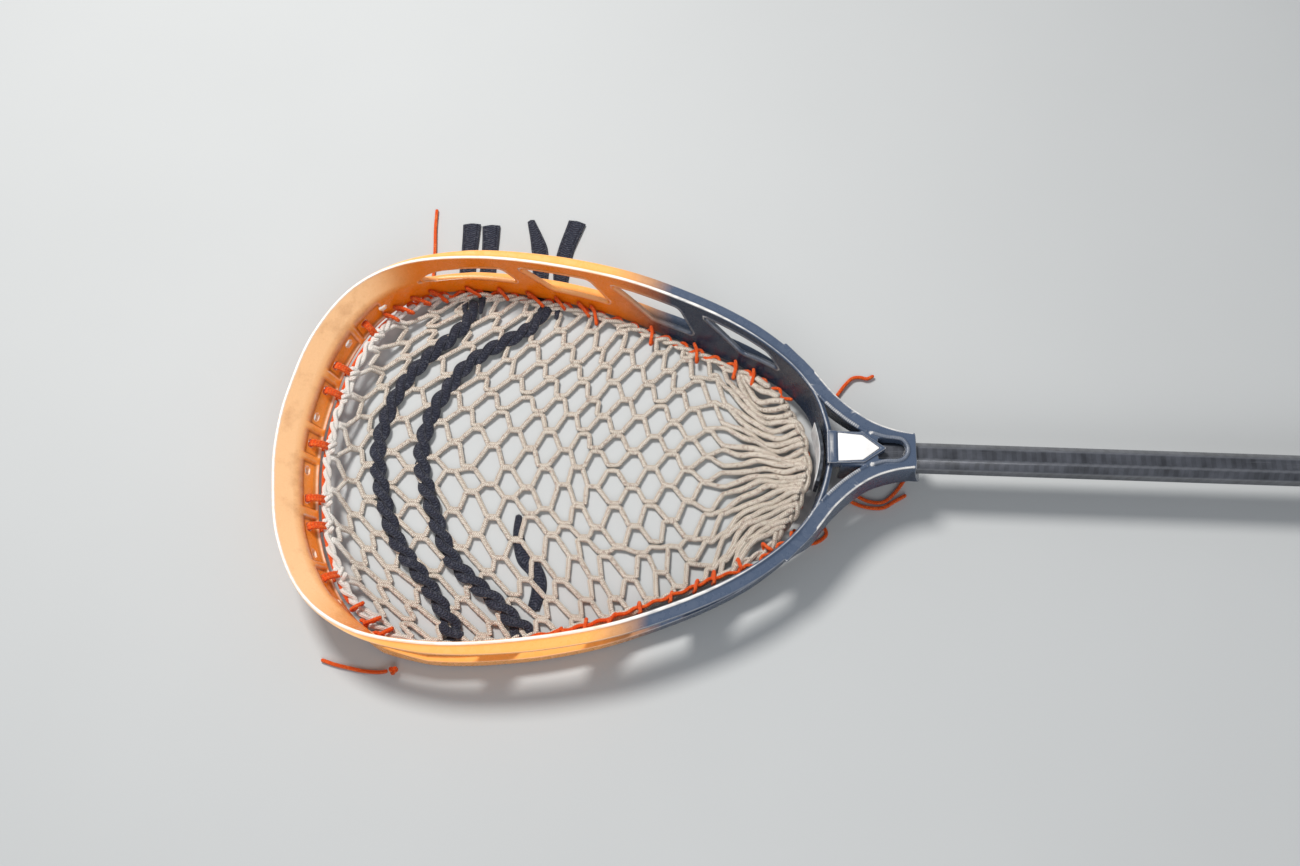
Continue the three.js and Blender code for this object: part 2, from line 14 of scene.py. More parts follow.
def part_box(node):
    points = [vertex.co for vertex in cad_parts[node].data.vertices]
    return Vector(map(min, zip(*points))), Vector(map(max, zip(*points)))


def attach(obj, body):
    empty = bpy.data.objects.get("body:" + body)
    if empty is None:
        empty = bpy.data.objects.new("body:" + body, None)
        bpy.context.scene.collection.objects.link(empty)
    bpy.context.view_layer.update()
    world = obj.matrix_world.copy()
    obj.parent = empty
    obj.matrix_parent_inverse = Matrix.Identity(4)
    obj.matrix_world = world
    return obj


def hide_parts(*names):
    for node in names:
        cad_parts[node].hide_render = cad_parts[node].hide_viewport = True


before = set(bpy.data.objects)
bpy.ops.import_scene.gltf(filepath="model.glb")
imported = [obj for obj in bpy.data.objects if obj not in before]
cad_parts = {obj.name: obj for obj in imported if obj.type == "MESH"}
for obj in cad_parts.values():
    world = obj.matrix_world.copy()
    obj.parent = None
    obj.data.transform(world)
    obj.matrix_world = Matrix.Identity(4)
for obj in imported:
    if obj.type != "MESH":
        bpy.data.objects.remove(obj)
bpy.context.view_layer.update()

MM = 0.001
SCOOP_FLANGE = 1.2  # the head starts this far in front of x = 0
ORIGIN = np.array([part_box("head_frame")[0].x / MM + SCOOP_FLANGE, 0.0, 0.0])
UP = np.array([0.0, 0.0, 1.0])

# ---------- the head's driving dimensions, as in the frame ----------
RIM_Z = 50.5
BEAD = 1.6
WEB = 3.4
RIM_HALF = [
    (0, 0), (3, 36), (14, 82), (38, 122.5), (75, 146), (125, 153.5), (180, 150.5), (247, 138),
    (302, 118), (342, 97.5), (371, 76), (390, 55), (401, 33), (407, 0),
]
WALL = {  # by distance from the scoop's edge: n runs outward from the bead, z down from its crest
    "x": (0, 30, 60, 90, 125, 200, 275, 320, 350, 375, 395, 407),
    "ramp": (1, 1, 0.6, 0.1, 0, 0, 0, 0, 0, 0, 0, 0),
    "bottom": (-33, -35.5, -41, -46, -48, -48, -48, -47, -44, -40, -36, -34),
    "shelf": (-16, -17, -20, -29, -32.5, -35, -37, -34.5, -29.5, -24, -22, -22),
    "inner": (-25, -21, -13, -5, -3, -6, -11, -11, -9, -6, -4, -3.2),
    "outer": (-21, -16, -5, 3, 6, 6, 3.5, 3.5, 4, 4, 2.5, 2.2),
    "flange": (1.2, 1.2, 2.2, 4.4, 7, 9, 9, 9, 9, 8.5, 3.2, 2.6),
}
WINDOWS = [
    [(80, -22), (97, -16), (150, -14), (163, -31), (94, -28)],
    [(164, -10.5), (221, -10.5), (240, -34), (191, -33.5)],
    [(239, -11), (294, -11), (309, -34.5), (275, -35.5)],
    [(314, -8.5), (364, -8.5), (375, -19), (346, -28.5)],
]
WINDOW_ROUND = 4
HOLE_PITCH = 24
HOLE_SIZE = (6.6, 4.8)
HOLE_RUN, HOLE_DROP = 0.78, 0.7  # a hole's place as shares of the wall's lean and of its height
PIERCED = (-0.86, 0.5)  # the way the scoop's face looks, outward and up
HOLES = range(-6, 7)
STRUNG_HOLES = (-5, -3, -2, 0, 2, 3, 5)
ARM_OUTER = [(375, 86.5), (393, 67), (411, 43.5), (427, 29), (440, 21), (455, 15.8), (466, 13.8)]
ARM_WIDTH = 11
ARM_FLANGE = 3
ARM_WALL = 3.2
ARM_TOP = (-1.2, 2)  # at the rim and at the socket
ARM_BOTTOM = (-5, -35)  # at the rim, and deepest, a third of the way along
SOCKET = {"start": 414, "end": 472, "half": 13.8, "top": 2.6, "bottom": -26.4}
MOUTH = {"radius": 62, "bite": 3.5, "roll": -0.3}  # the round bar that trims the socket's end
SLOT = {"start": 441, "end": 461.5, "half": 8.2}
TRAY = {  # the raised deck that holds the badge
    "start": 404, "shoulder": 430.5, "apex": 447, "wide": 13, "narrow": 11.6, "top": 4.2, "bottom": -5}
BADGE_INSET = 1.7
BADGE_RECESS = 1.3
BADGE_THICKNESS = 0.8
GAP = 0.3

# ---------- the shaft ----------
SHAFT_START = 417
SHAFT_END = SHAFT_START + 1016
SHAFT_Z = RIM_Z - 13.2
SHAFT_HALF = {"y": 10.7, "z": 9.8, "flat_y": 5.1, "flat_z": 4.5, "hollow": 0.4}
SHAFT_WALL = 1.9
CAP_WALL = 2.2
CAP_OVERLAP = 30
BUTT_END = SHAFT_END + GAP + 7
SCREW = {"x": 428, "shank": 1.9, "head": 4, "head_height": 2.2, "length": 17}

# ---------- strings, laces and mesh ----------
STRING = 2.8
STRING_STEP, TAIL_STEP = 0.9, 0.8  # between the points of a string's line, and of a loose end's
STRING_Z = STRING / 2 + GAP
THROAT_TAIL_LIFT = 0.9
LACE_WIDTH = 12
LACE_THICKNESS = 1.5
LACE_Z = 5.1
LACE_FLOOR_Z = 1.2
CORD_ANGLE = 60  # cords are shaded smooth across edges up to this angle


# ---------- curves ----------
def to_frame(points):
    """Millimetres from the scoop's edge to the frame's metres."""
    return (np.asarray(points, float) + ORIGIN) * MM


def unit(vectors):
    return vectors / np.maximum(np.linalg.norm(vectors, axis=-1, keepdims=True), 1e-9)


def ease(t):
    """0 to 1 with a soft start and end."""
    t = np.clip(t, 0, 1)
    return t * t * (3 - 2 * t)


def mix(a, b, t):
    return a + (b - a) * t


def spline(points, closed=False, centripetal=True, per_span=24):
    """A Catmull-Rom curve through the points."""
    p = np.asarray(points, float)
    ends = (p[-1:], p[:2]) if closed else (2 * p[:1] - p[1:2], 2 * p[-1:] - p[-2:-1])
    p = np.concatenate([ends[0], p, ends[1]])
    t = np.linspace(0, 1, per_span, endpoint=False)[:, None]
    spans = []
    for a, b, c, d in zip(p, p[1:], p[2:], p[3:]):
        if centripetal:
            k, m, n = (np.linalg.norm(v) ** 0.5 for v in (b - a, c - b, d - c))
            leave = ((b - a) / k - (c - a) / (k + m) + (c - b) / m) * m
            reach = ((c - b) / m - (d - b) / (m + n) + (d - c) / n) * m
        else:
            leave, reach = (c - a) / 2, (d - b) / 2
        spans.append(
            (2 * t**3 - 3 * t**2 + 1) * b
            + (t**3 - 2 * t**2 + t) * leave
            + (3 * t**2 - 2 * t**3) * c
            + (t**3 - t**2) * reach
        )
    return np.concatenate(spans + [p[-2:-1]])


def travelled(line):
    """How far along the line each of its points is."""
    return np.concatenate([[0], np.cumsum(np.linalg.norm(np.diff(line, axis=0), axis=1))])


def along_line(line, distances):
    s = travelled(line)
    return np.stack([np.interp(distances, s, axis) for axis in line.T], axis=1)


def evenly(line, step):
    """The line again, with its points a step apart."""
    total = travelled(line)[-1]
    return along_line(line, np.linspace(0, total, max(2, round(total / step) + 1)))


def evenly_closed(loop, step):
    """The same for a closed line, whose last point leads back to its first."""
    return evenly(np.concatenate([loop, loop[:1]]), step)[:-1]


def direction(line, closed=False):
    """The direction of travel at each point of a line."""
    return unit(np.roll(line, -1, 0) - np.roll(line, 1, 0) if closed else np.gradient(line, axis=0))


# ---------- bodies: points, quads with their UVs, and end caps ----------
class Body:
    """Closed surfaces in millimetres. uvs holds a pair for each corner of each quad."""

    def __init__(self, points, quads, uvs, caps):
        self.points, self.quads, self.uvs, self.caps = points, quads, uvs, caps

    def volume(self):
        a, b, c, d = (self.points[self.quads[:, i]] for i in range(4))
        return ((np.cross(b - a, c - a) + np.cross(c - a, d - a)) * a).sum()


def join(bodies):
    points, quads, uvs, caps, start = [], [], [], [], 0
    for body in bodies:
        points.append(body.points)
        quads.append(body.quads + start)
        uvs.append(body.uvs)
        caps += [[i + start for i in cap] for cap in body.caps]
        start += len(body.points)
    return Body(np.concatenate(points), np.concatenate(quads), np.concatenate(uvs), caps)


def skin(rings, distances, closed=False):
    """Joins rings of the same size, shaped (rings, points, 3), into a tube."""
    count, size = rings.shape[:2]
    i, j = np.meshgrid(np.arange(count if closed else count - 1), np.arange(size), indexing="ij")
    after, beside = (i + 1) % count, (j + 1) % size
    quads = np.stack([i * size + j, i * size + beside, after * size + beside, after * size + j], -1)
    near, far = distances[i], np.where(i + 1 < count, distances[after], distances[-1] * (1 + 1 / count))
    u, v = j / size, (j + 1) / size
    uvs = np.stack([np.stack(pair, -1) for pair in ((u, near), (v, near), (v, far), (u, far))], -2)
    last = (count - 1) * size
    caps = [] if closed else [list(range(size))[::-1], [last + k for k in range(size)]]
    body = Body(rings.reshape(-1, 3), quads.reshape(-1, 4), uvs.reshape(-1, 4, 2), caps)
    if body.volume() < 0:
        body.quads, body.uvs = body.quads[:, ::-1], body.uvs[:, ::-1]
        body.caps = [cap[::-1] for cap in body.caps]
    return body


def sweep(line, profile, up=UP, closed=False, scale=1.0, turn=0.0):
    """Carries a profile of (side, rise) pairs along a line. turn rolls it, in radians."""
    line = np.asarray(line, float)
    tangent = direction(line, closed)
    side = unit(np.cross(tangent, up))
    rise = np.cross(side, tangent)
    profile = np.broadcast_to(profile, (len(line), *np.shape(profile)[-2:]))
    size = np.broadcast_to(scale, len(line))[:, None]
    turn = np.broadcast_to(turn, len(line))[:, None]
    across = (profile[..., 0] * np.cos(turn) - profile[..., 1] * np.sin(turn)) * size
    upward = (profile[..., 0] * np.sin(turn) + profile[..., 1] * np.cos(turn)) * size
    rings = line[:, None] + across[..., None] * side[:, None] + upward[..., None] * rise[:, None]
    return skin(rings, travelled(line), closed)


def circle(radius, sides):
    angle = np.arange(sides) * 2 * math.pi / sides
    return np.stack([np.cos(angle), np.sin(angle)], 1) * radius


def oblong(width, height, sides, power):
    """A flattened round section: an ellipse at power 2, squarer above it."""
    angle = np.arange(sides) * 2 * math.pi / sides
    shape = [np.sign(f(angle)) * np.abs(f(angle)) ** (2 / power) for f in (np.cos, np.sin)]
    return np.stack(shape, 1) * (width / 2, height / 2)


def rounded_tips(line, radius):
    """A scale along the line that closes both ends like a melted tip."""
    s = travelled(line)
    near = np.clip(np.minimum(s, s[-1] - s) / radius, 0.02, 1)
    return np.sqrt(1 - (1 - near) ** 2)


def rectangle(half_width, low, high):
    return [(-half_width, low), (half_width, low), (half_width, high), (-half_width, high)]


def corner_curve(start, at, end, t):
    """A curve from start to end that heads for the corner at first, at shares t of the way."""
    return (1 - t) ** 2 * start + 2 * t * (1 - t) * at + t**2 * end


def rounded_corners(corners, radius, steps=5):
    """A closed outline with each corner replaced by a curve."""
    corners = np.asarray(corners, float)
    t = np.linspace(0, 1, steps)[:, None]
    points = []
    for i, at in enumerate(corners):
        before, after = corners[i - 1], corners[(i + 1) % len(corners)]
        start = at + unit(before - at) * min(radius, np.linalg.norm(before - at) / 2.5)
        end = at + unit(after - at) * min(radius, np.linalg.norm(after - at) / 2.5)
        points.append(corner_curve(start, at, end, t))
    return np.concatenate(points)


AXES_Z = ((1, 0, 0), (0, 1, 0), (0, 0, 1))
AXES_X = ((0, 1, 0), (0, 0, 1), (1, 0, 0))


def prism(outline, low, high, axes=AXES_Z, origin=(0, 0, 0)):
    """Extrudes an outline. axes are the directions of its two coordinates and of the extrusion."""
    flat = np.asarray(outline, float) @ np.asarray(axes[:2], float)
    depth = np.asarray(axes[2], float)
    rings = np.stack([flat + depth * end + origin for end in (low, high)])
    return skin(rings, np.array([0.0, high - low]))


# ---------- making Blender objects ----------
def linked(name, data):
    """A new object of the scene."""
    obj = bpy.data.objects.new(name, data)
    bpy.context.scene.collection.objects.link(obj)
    return obj


def new_object(name, body, smooth_angle=40):
    data = bpy.data.meshes.new(name)
    data.from_pydata(to_frame(body.points).tolist(), [], body.quads.tolist() + body.caps)
    uv = data.uv_layers.new(name="UVMap")
    flat = np.zeros((len(data.loops), 2))
    flat[: body.quads.size] = body.uvs.reshape(-1, 2)
    uv.data.foreach_set("uv", flat.ravel())
    obj = linked(name, data)
    soften(obj, smooth_angle)
    return obj


def soften(obj, angle=40):
    obj.data.polygons.foreach_set("use_smooth", [True] * len(obj.data.polygons))
    obj.data.set_sharp_from_angle(angle=math.radians(angle))


def piece(obj, material, stands_for=()):
    """Gives an object its finish and its place in the frame."""
    obj.data.materials.clear()
    obj.data.materials.append(material)
    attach(obj, "root")
    if stands_for:
        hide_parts(*stands_for)
    return obj


def apply_modifier(obj, kind, **settings):
    modifier = obj.modifiers.new(kind.title(), kind)
    for key, value in settings.items():
        setattr(modifier, key, value)
    bpy.context.view_layer.objects.active = obj
    bpy.ops.object.modifier_apply(modifier=modifier.name)


def combine(obj, other, operation):
    """Adds a body or another object to an object, or cuts it away."""
    if isinstance(other, Body):
        other = new_object("cutter", other)
    apply_modifier(obj, "BOOLEAN", operation=operation, solver="MANIFOLD", object=other)
    bpy.data.objects.remove(other)


# ---------- material nodes ----------
class Nodes:
    """A material's node tree with short ways to add what these materials need."""

    def __init__(self, name, **constants):
        self.material = bpy.data.materials.new(name)
        self.material.use_nodes = True
        self.tree = self.material.node_tree
        self.shader = self.tree.nodes["Principled BSDF"]
        for socket, value in constants.items():
            self.shader.inputs[socket.replace("_", " ")].default_value = value

    def add(self, kind, inputs=(), **settings):
        node = self.tree.nodes.new(kind)
        for key, value in settings.items():
            setattr(node, key, value)
        for socket, value in dict(inputs).items():
            self.feed(node.inputs[socket], value)
        return node

    def feed(self, socket, value):
        if isinstance(value, bpy.types.NodeSocket):
            self.tree.links.new(value, socket)
        else:
            socket.default_value = value

    def math(self, operation, a, b=0.0):
        return self.add("ShaderNodeMath", {0: a, 1: b}, operation=operation).outputs[0]

    def times(self, a, b):
        return self.math("MULTIPLY", a, b)

    def attribute(self, name):
        return self.add("ShaderNodeAttribute", attribute_name=name).outputs["Fac"]

    def uv(self):
        """How far round a tube, from 0 to 1, and how far along it in millimetres."""
        both = self.add("ShaderNodeUVMap", uv_map="UVMap").outputs[0]
        return self.add("ShaderNodeSeparateXYZ", {0: both}).outputs[:2]

    def place(self, scale=(1, 1, 1)):
        where = self.add("ShaderNodeTexCoord").outputs["Object"]
        return self.add("ShaderNodeMapping", {"Vector": where, "Scale": scale}).outputs[0]

    def noise(self, scale, detail, roughness=0.55, vector=None):
        inputs = {"Scale": scale, "Detail": detail, "Roughness": roughness}
        inputs["Vector"] = vector or self.place()
        return self.add("ShaderNodeTexNoise", inputs).outputs["Fac"]

    def spread(self, value, low, high, out_low=0.0, out_high=1.0):
        """Stretches a range of a value over another range."""
        inputs = {0: value, 1: low, 2: high, 3: out_low, 4: out_high}
        return self.add("ShaderNodeMapRange", inputs, clamp=True).outputs[0]

    def uneven(self, scale, low, high, detail=3.0):
        """A value that wanders between low and high over the surface."""
        return self.spread(self.noise(scale, detail), 0.3, 0.7, low, high)

    def blend(self, a, b, share):
        node = self.add("ShaderNodeMix", data_type="RGBA")
        colours = [s for s in node.inputs if s.type == "RGBA"]
        for socket, value in zip([node.inputs[0], *colours], [share, a, b]):
            self.feed(socket, value)
        return [s for s in node.outputs if s.type == "RGBA"][0]

    def finish(self, colour=None, roughness=None, height=None, strength=0.4, distance=0.0003):
        for socket, value in (("Base Color", colour), ("Roughness", roughness)):
            if value is not None:
                self.feed(self.shader.inputs[socket], value)
        if height is not None:
            inputs = {"Height": height, "Strength": strength, "Distance": distance}
            bump = self.add("ShaderNodeBump", inputs)
            self.feed(self.shader.inputs["Normal"], bump.outputs[0])
        return self.material


def head_plastic():
    """Dyed nylon, orange at the scoop and smoke at the throat. Painted light on it: a paler lit copy of
    the colour on faces turned up or out, painted shade in creases, and a pale painted highlight, partly
    real wear, on edges.
    """
    n = Nodes("head_plastic", Specular_IOR_Level=0.5, IOR=1.5)
    ragged = n.math("ADD", n.attribute("fade"), n.uneven(26, -0.12, 0.12, 4))
    # deep is a shaded copy and pale a lit copy of each colour: painted shade and painted light, blended by
    # the pale mark
    deep = n.blend((1.0, 0.24, 0.008, 1), (0.022, 0.034, 0.062, 1), n.spread(ragged, 0.1, 0.9))
    pale = n.blend((1.0, 0.47, 0.12, 1), (0.070, 0.098, 0.155, 1), n.spread(ragged, 0.1, 0.9))
    body = n.blend(deep, pale, n.attribute("pale"))
    # paler orange on the scoop's upward faces: a painted highlight, with some real bleaching
    bleached_and_sunlit = n.blend(body, (1.0, 0.62, 0.33, 1), n.attribute("bleach"))
    smudge = n.times(n.spread(n.noise(38, 6, 0.65), 0.52, 0.74), n.attribute("dirt"))
    dirt_and_shade = n.blend(bleached_and_sunlit, (0.42, 0.16, 0.05, 1), n.times(smudge, 0.5))
    # painted shade: a darker orange in the hollows and creases
    dirt_and_shade = n.blend(dirt_and_shade, (0.34, 0.085, 0.012, 1), n.times(n.attribute("grime"), 0.7))
    # a near-white line on crests, ridges and throat edges: painted highlight with some real wear, broken
    # up by streaky noise
    broken_up = n.spread(n.noise(240, 3, vector=n.place((0.25, 1, 1))), 0.35, 0.6, 0.55, 1.0)
    wear_and_highlight = n.times(n.attribute("edge"), broken_up)
    colour = n.blend(dirt_and_shade, (0.97, 0.93, 0.87, 1), wear_and_highlight)
    roughness = n.uneven(160, 0.20, 0.36, 4)
    fine = n.times(n.noise(900, 2), 0.5)
    height = n.math("ADD", fine, n.spread(n.noise(60, 5, 0.7), 0.35, 0.65))
    return n.finish(colour, roughness, height, strength=0.12, distance=0.0004)


def badge_plastic():
    n = Nodes("badge_plastic", Specular_IOR_Level=0.5)
    stain = n.spread(n.noise(90, 5), 0.45, 0.75)
    colour = n.blend((0.90, 0.88, 0.86, 1), (0.70, 0.68, 0.66, 1), n.times(stain, 0.5))
    return n.finish(colour, n.uneven(300, 0.22, 0.4), n.noise(500, 3), 0.08)


def foam():
    n = Nodes("foam", Roughness=0.95, Specular_IOR_Level=0.2)
    cells = n.add("ShaderNodeTexVoronoi", {"Vector": n.place(), "Scale": 900}).outputs["Distance"]
    colour = n.blend((0.035, 0.04, 0.05, 1), (0.11, 0.12, 0.14, 1), n.spread(n.noise(220, 4), 0.4, 0.7))
    return n.finish(colour, None, cells, 0.7, 0.0005)


def foam_skin():
    n = Nodes("foam_skin", Specular_IOR_Level=0.4)
    colour = n.blend((0.72, 0.73, 0.74, 1), (0.46, 0.48, 0.50, 1), n.spread(n.noise(120, 4), 0.45, 0.75))
    return n.finish(colour, n.uneven(200, 0.35, 0.6), n.noise(500, 3), 0.2)


def carbon():
    """Woven carbon under lacquer: each strip round the tube is banded, half a band on from the last."""
    n = Nodes("carbon", Coat_Weight=0.7, Coat_Roughness=0.14, Metallic=0.4)
    around, along = n.uv()
    strip = n.math("FLOOR", n.times(around, 20.0))
    shifted = n.math("ADD", n.times(along, 0.28), n.times(strip, 0.5))
    over = n.math("GREATER_THAN", n.math("FRACT", n.times(shifted, 0.5)), 0.5)
    weave = n.times(n.math("SUBTRACT", over, 0.5), 0.22)
    tone = n.math("ADD", n.math("ADD", 0.5, weave), n.uneven(60, -0.4, 0.4, 5))
    colour = n.blend((0.018, 0.019, 0.024, 1), (0.095, 0.100, 0.120, 1), tone)
    scratched = n.spread(n.noise(180, 6, 0.7, n.place((0.08, 1, 1))), 0.62, 0.74)
    colour = n.blend(colour, (0.33, 0.34, 0.37, 1), n.times(scratched, 0.35))
    colour = n.blend(colour, (0.36, 0.37, 0.40, 1), n.times(n.attribute("edge"), 0.3))
    return n.finish(colour, n.uneven(140, 0.28, 0.42, 4), tone, 0.1, 0.0002)


def rubber():
    n = Nodes("rubber", Specular_IOR_Level=0.3)
    colour = n.blend((0.012, 0.012, 0.013, 1), (0.05, 0.05, 0.052, 1), n.spread(n.noise(80, 5), 0.4, 0.8))
    return n.finish(colour, n.uneven(150, 0.6, 0.85), n.noise(1400, 2), 0.3)


def steel():
    n = Nodes("steel", Metallic=1.0)
    brushed = n.noise(700, 2, vector=n.place((1, 1, 0.05)))
    colour = n.blend((0.55, 0.56, 0.58, 1), (0.78, 0.79, 0.80, 1), brushed)
    return n.finish(colour, n.spread(brushed, 0.3, 0.7, 0.22, 0.4), brushed, 0.1, 0.0001)


def braid(name, dark, light, speck, pitch, turns, soil, sheen, bleached_and_sunlit=None):
    """A braided or knitted cord: chevrons across the tube's UVs, with painted shade in their grooves,
    specks and worn patches.
    """
    n = Nodes(name, Roughness=0.88, Specular_IOR_Level=0.25, Sheen_Weight=sheen, Sheen_Roughness=0.5)
    around, along = n.uv()
    zigzag = n.math("PINGPONG", n.times(around, 2.0 * turns), 1.0)
    slant = n.math("ADD", n.times(along, 1.0 / pitch), zigzag)
    rib = n.spread(n.math("PINGPONG", slant, 0.5), 0.05, 0.35)
    groove = n.spread(zigzag, 0.06, 0.3)
    height = n.times(rib, groove)
    patch = n.spread(n.noise(70, 5), 0.35, 0.7)
    # painted shade: the grooves of the braid take the dark colour, the ribs the light one
    colour = n.blend(dark, light, height)
    spots = n.spread(n.noise(520, 2), 0.54, 0.66)
    colour = n.blend(colour, speck, n.times(spots, 0.7))
    soiled = n.blend(colour, dark, n.times(patch, soil))
    if bleached_and_sunlit:
        soiled = n.blend(soiled, bleached_and_sunlit, n.times(n.attribute("bleach"), 0.8))
    return n.finish(soiled, None, height, 0.9, 0.0006)


def floor_finish():
    n = Nodes("floor", Specular_IOR_Level=0.2)
    colour = n.blend((0.50, 0.51, 0.51, 1), (0.54, 0.55, 0.55, 1), n.noise(3, 4))
    return n.finish(colour, n.uneven(8, 0.75, 0.85))


# ---------- the rim ----------
RIM = spline(
    [(x, y, 0) for x, y in RIM_HALF] + [(x, -y, 0) for x, y in RIM_HALF[-2:0:-1]],
    closed=True, centripetal=False, per_span=120,
)
RIM_LENGTH = travelled(RIM)[-1]
THROAT = RIM_LENGTH / 2  # the distance round to the throat's middle


def rim_at(distance):
    """The bead's points and its directions along and outward, at distances round from the scoop."""
    distance = np.atleast_1d(np.asarray(distance, float))
    point = along_line(RIM, np.mod(distance, RIM_LENGTH))
    ahead, behind = (along_line(RIM, np.mod(distance + d, RIM_LENGTH)) for d in (0.8, -0.8))
    along = unit(ahead - behind)
    out = np.stack([-along[:, 1], along[:, 0], 0 * along[:, 0]], 1)
    return point, along, out


def wall_at(x):
    return {key: np.interp(x, WALL["x"], values) for key, values in WALL.items()}


def wall_round(distance):
    """The wall's measures at distances round the rim."""
    return wall_at(rim_at(distance)[0][:, 0])


def on_wall(distance, n, z):
    """Points n outward and z above the bead's crest."""
    point, _, out = rim_at(distance)
    return point + out * np.reshape(n, (-1, 1)) + UP * (np.reshape(z, (-1, 1)) + RIM_Z)


def distance_at(x):
    """The distance round to the left side's point that is x from the scoop's edge."""
    half = RIM[: len(RIM) // 2 + 1]
    return float(np.interp(x, half[:, 0], travelled(half)))


RAMP_TURN = (-15.5, -14.5)  # where the scoop's ramp turns down into its inner face
RAMP_CORNER = 12  # that point's number in the section


def wall_section(wall):
    """The wall's section at each station, shaped (stations, 13, 2)."""
    names = ("bottom", "shelf", "inner", "outer", "flange")
    bottom, shelf, inner, outer, flange = (wall[name] for name in names)
    lean = inner * (shelf / bottom)
    upright = [
        (-BEAD, -1.8), (-1.2, -0.4), (0, 0), (1.2, -0.4), (1.8, -1.1), (flange, -1.4), (flange, -4),
        (WEB - BEAD, -5), (lean + WEB, shelf + 0.4), (outer, shelf), (outer - 0.5, bottom),
        (inner, bottom), (np.minimum(lean, -BEAD), shelf),
    ]
    scoop = [
        (-1.2, -0.8), (-0.8, -0.2), (0, 0), (0.7, -0.3), (1, -0.8), (flange, -1.3), (0.8, -2.6),
        (-2.4, -7), (-8.5, -16), (-13, -22), (inner + 4.2, bottom), (inner, bottom), RAMP_TURN,
    ]
    size = len(wall["x"])
    full = []
    for outline in (upright, scoop):
        measures = [np.broadcast_to(value, size) for pair in outline for value in pair]
        full.append(np.stack(measures, 1).reshape(size, -1, 2))
    return mix(*full, wall["ramp"][:, None, None])


CORNER_STEPS = 4
SECTION_SPACING = 1.7


def rounded_sections(sections, ramp):
    """Rounds every corner of every section, the ramp's most, and fills the long sides with points."""
    size = sections.shape[1]

    def cut_back(corner, other):
        """Where the rounding of a corner starts, on its side towards the other corner."""
        radius = 0.9 + (4.5 if corner == RAMP_CORNER else 0) * ramp
        away = sections[:, other] - sections[:, corner]
        reach = np.minimum(radius, np.linalg.norm(away, axis=1) * 0.4)[:, None]
        return sections[:, corner] + unit(away) * reach

    points = []
    shares = np.linspace(0, 1, CORNER_STEPS)
    for i in range(size):
        after = (i + 1) % size
        start, end = cut_back(i, i - 1), cut_back(i, after)
        points += [corner_curve(start, sections[:, i], end, share) for share in shares]
        following = cut_back(after, i)
        fill = int(np.linalg.norm(following - end, axis=1).max() / SECTION_SPACING)
        points += [mix(end, following, (k + 1) / (fill + 1)) for k in range(fill)]
    return np.stack(points, 1)


PADS = ((0, 9), (36, 19), (84, 19), (126, 15))  # each pad's middle round the rim and its half length
PAD_DEPTH = 1.7


def pad_depth(distance, z, wall):
    """How deep the scoop's face is pressed in round its groups of holes, for points at height z."""
    bottom = wall["bottom"][:, None]
    rise = (z - bottom) / (RAMP_TURN[1] - bottom)  # 0 at the lip, 1 at the ramp
    station = np.minimum(distance, RIM_LENGTH - distance)[:, None]
    inside = np.zeros_like(z)
    for middle, half in PADS:
        across = 1 - ease((np.abs(station - middle) - half) / 2.2)
        tall = ease((rise - 0.10) / 0.09) * (1 - ease((rise - 0.80) / 0.10))
        inside = np.maximum(inside, across * tall)
    return PAD_DEPTH * inside * ease(wall["ramp"] * 1.6)[:, None]


RIM_STATIONS = 880


def rim_body():
    distance = np.arange(RIM_STATIONS) * RIM_LENGTH / RIM_STATIONS
    point, _, out = rim_at(distance)
    wall = wall_at(point[:, 0])
    section = rounded_sections(wall_section(wall), wall["ramp"])
    n, z = section[..., 0], section[..., 1]
    face = wall["inner"][:, None] * 0.55 + z * 0.18  # points on the inner face lie inside this line
    inner_face = ease((face - n + 3) / 2) * (z < -15)
    depth = pad_depth(distance, z, wall) * inner_face
    n, z = n - depth * PIERCED[0], z - depth * PIERCED[1]
    rings = point[:, None] + out[:, None] * n[..., None] + UP * (z[..., None] + RIM_Z)
    return skin(rings, distance, closed=True)


def window_frame(corners, side):
    """A window's place on the rim: its origin, the directions along and across, and its outline there."""
    middle = sum(x for x, _ in corners) / len(corners)
    point, along, out = (v[0] for v in rim_at(side * distance_at(middle)))
    outline = [((x - middle) / (side * along[0]), z + RIM_Z) for x, z in corners]
    return point, along * side, out * -side, outline


def window_cutter(corners, side):
    point, along, across, outline = window_frame(corners, side)
    return prism(rounded_corners(outline, WINDOW_ROUND), -30, 30, (along, UP, across), point)


LIP_RADIUS = 2.1
LIP_OUTSET = 1.1


def window_lip(corners, side):
    """A rounded bead round a window, in the middle of the wall."""
    point, along, _, outline = window_frame(corners, side)
    loop = evenly_closed(rounded_corners(outline, WINDOW_ROUND + 1, 9), 1.6)
    ahead = direction(loop, closed=True)
    normal = np.stack([ahead[:, 1], -ahead[:, 0]], 1)
    away = np.sign(((loop - loop.mean(0)) * normal).sum(1).mean())
    loop = loop + normal * LIP_OUTSET * away
    distances = side * np.linspace(distance_at(60), distance_at(392), 400)
    bead = rim_at(distances)[0]
    station = np.interp(loop[:, 0], (bead - point) @ along, distances)
    wall = wall_round(station)
    z = loop[:, 1] - RIM_Z
    lean = np.minimum(wall["inner"] * wall["shelf"] / wall["bottom"], -BEAD)
    n = mix(-BEAD, lean, np.clip((z + 1.8) / (wall["shelf"] + 1.8), 0, 1)) + WEB / 2
    return sweep(on_wall(station, n, z), circle(LIP_RADIUS, 12), up=np.cross(along, UP), closed=True)


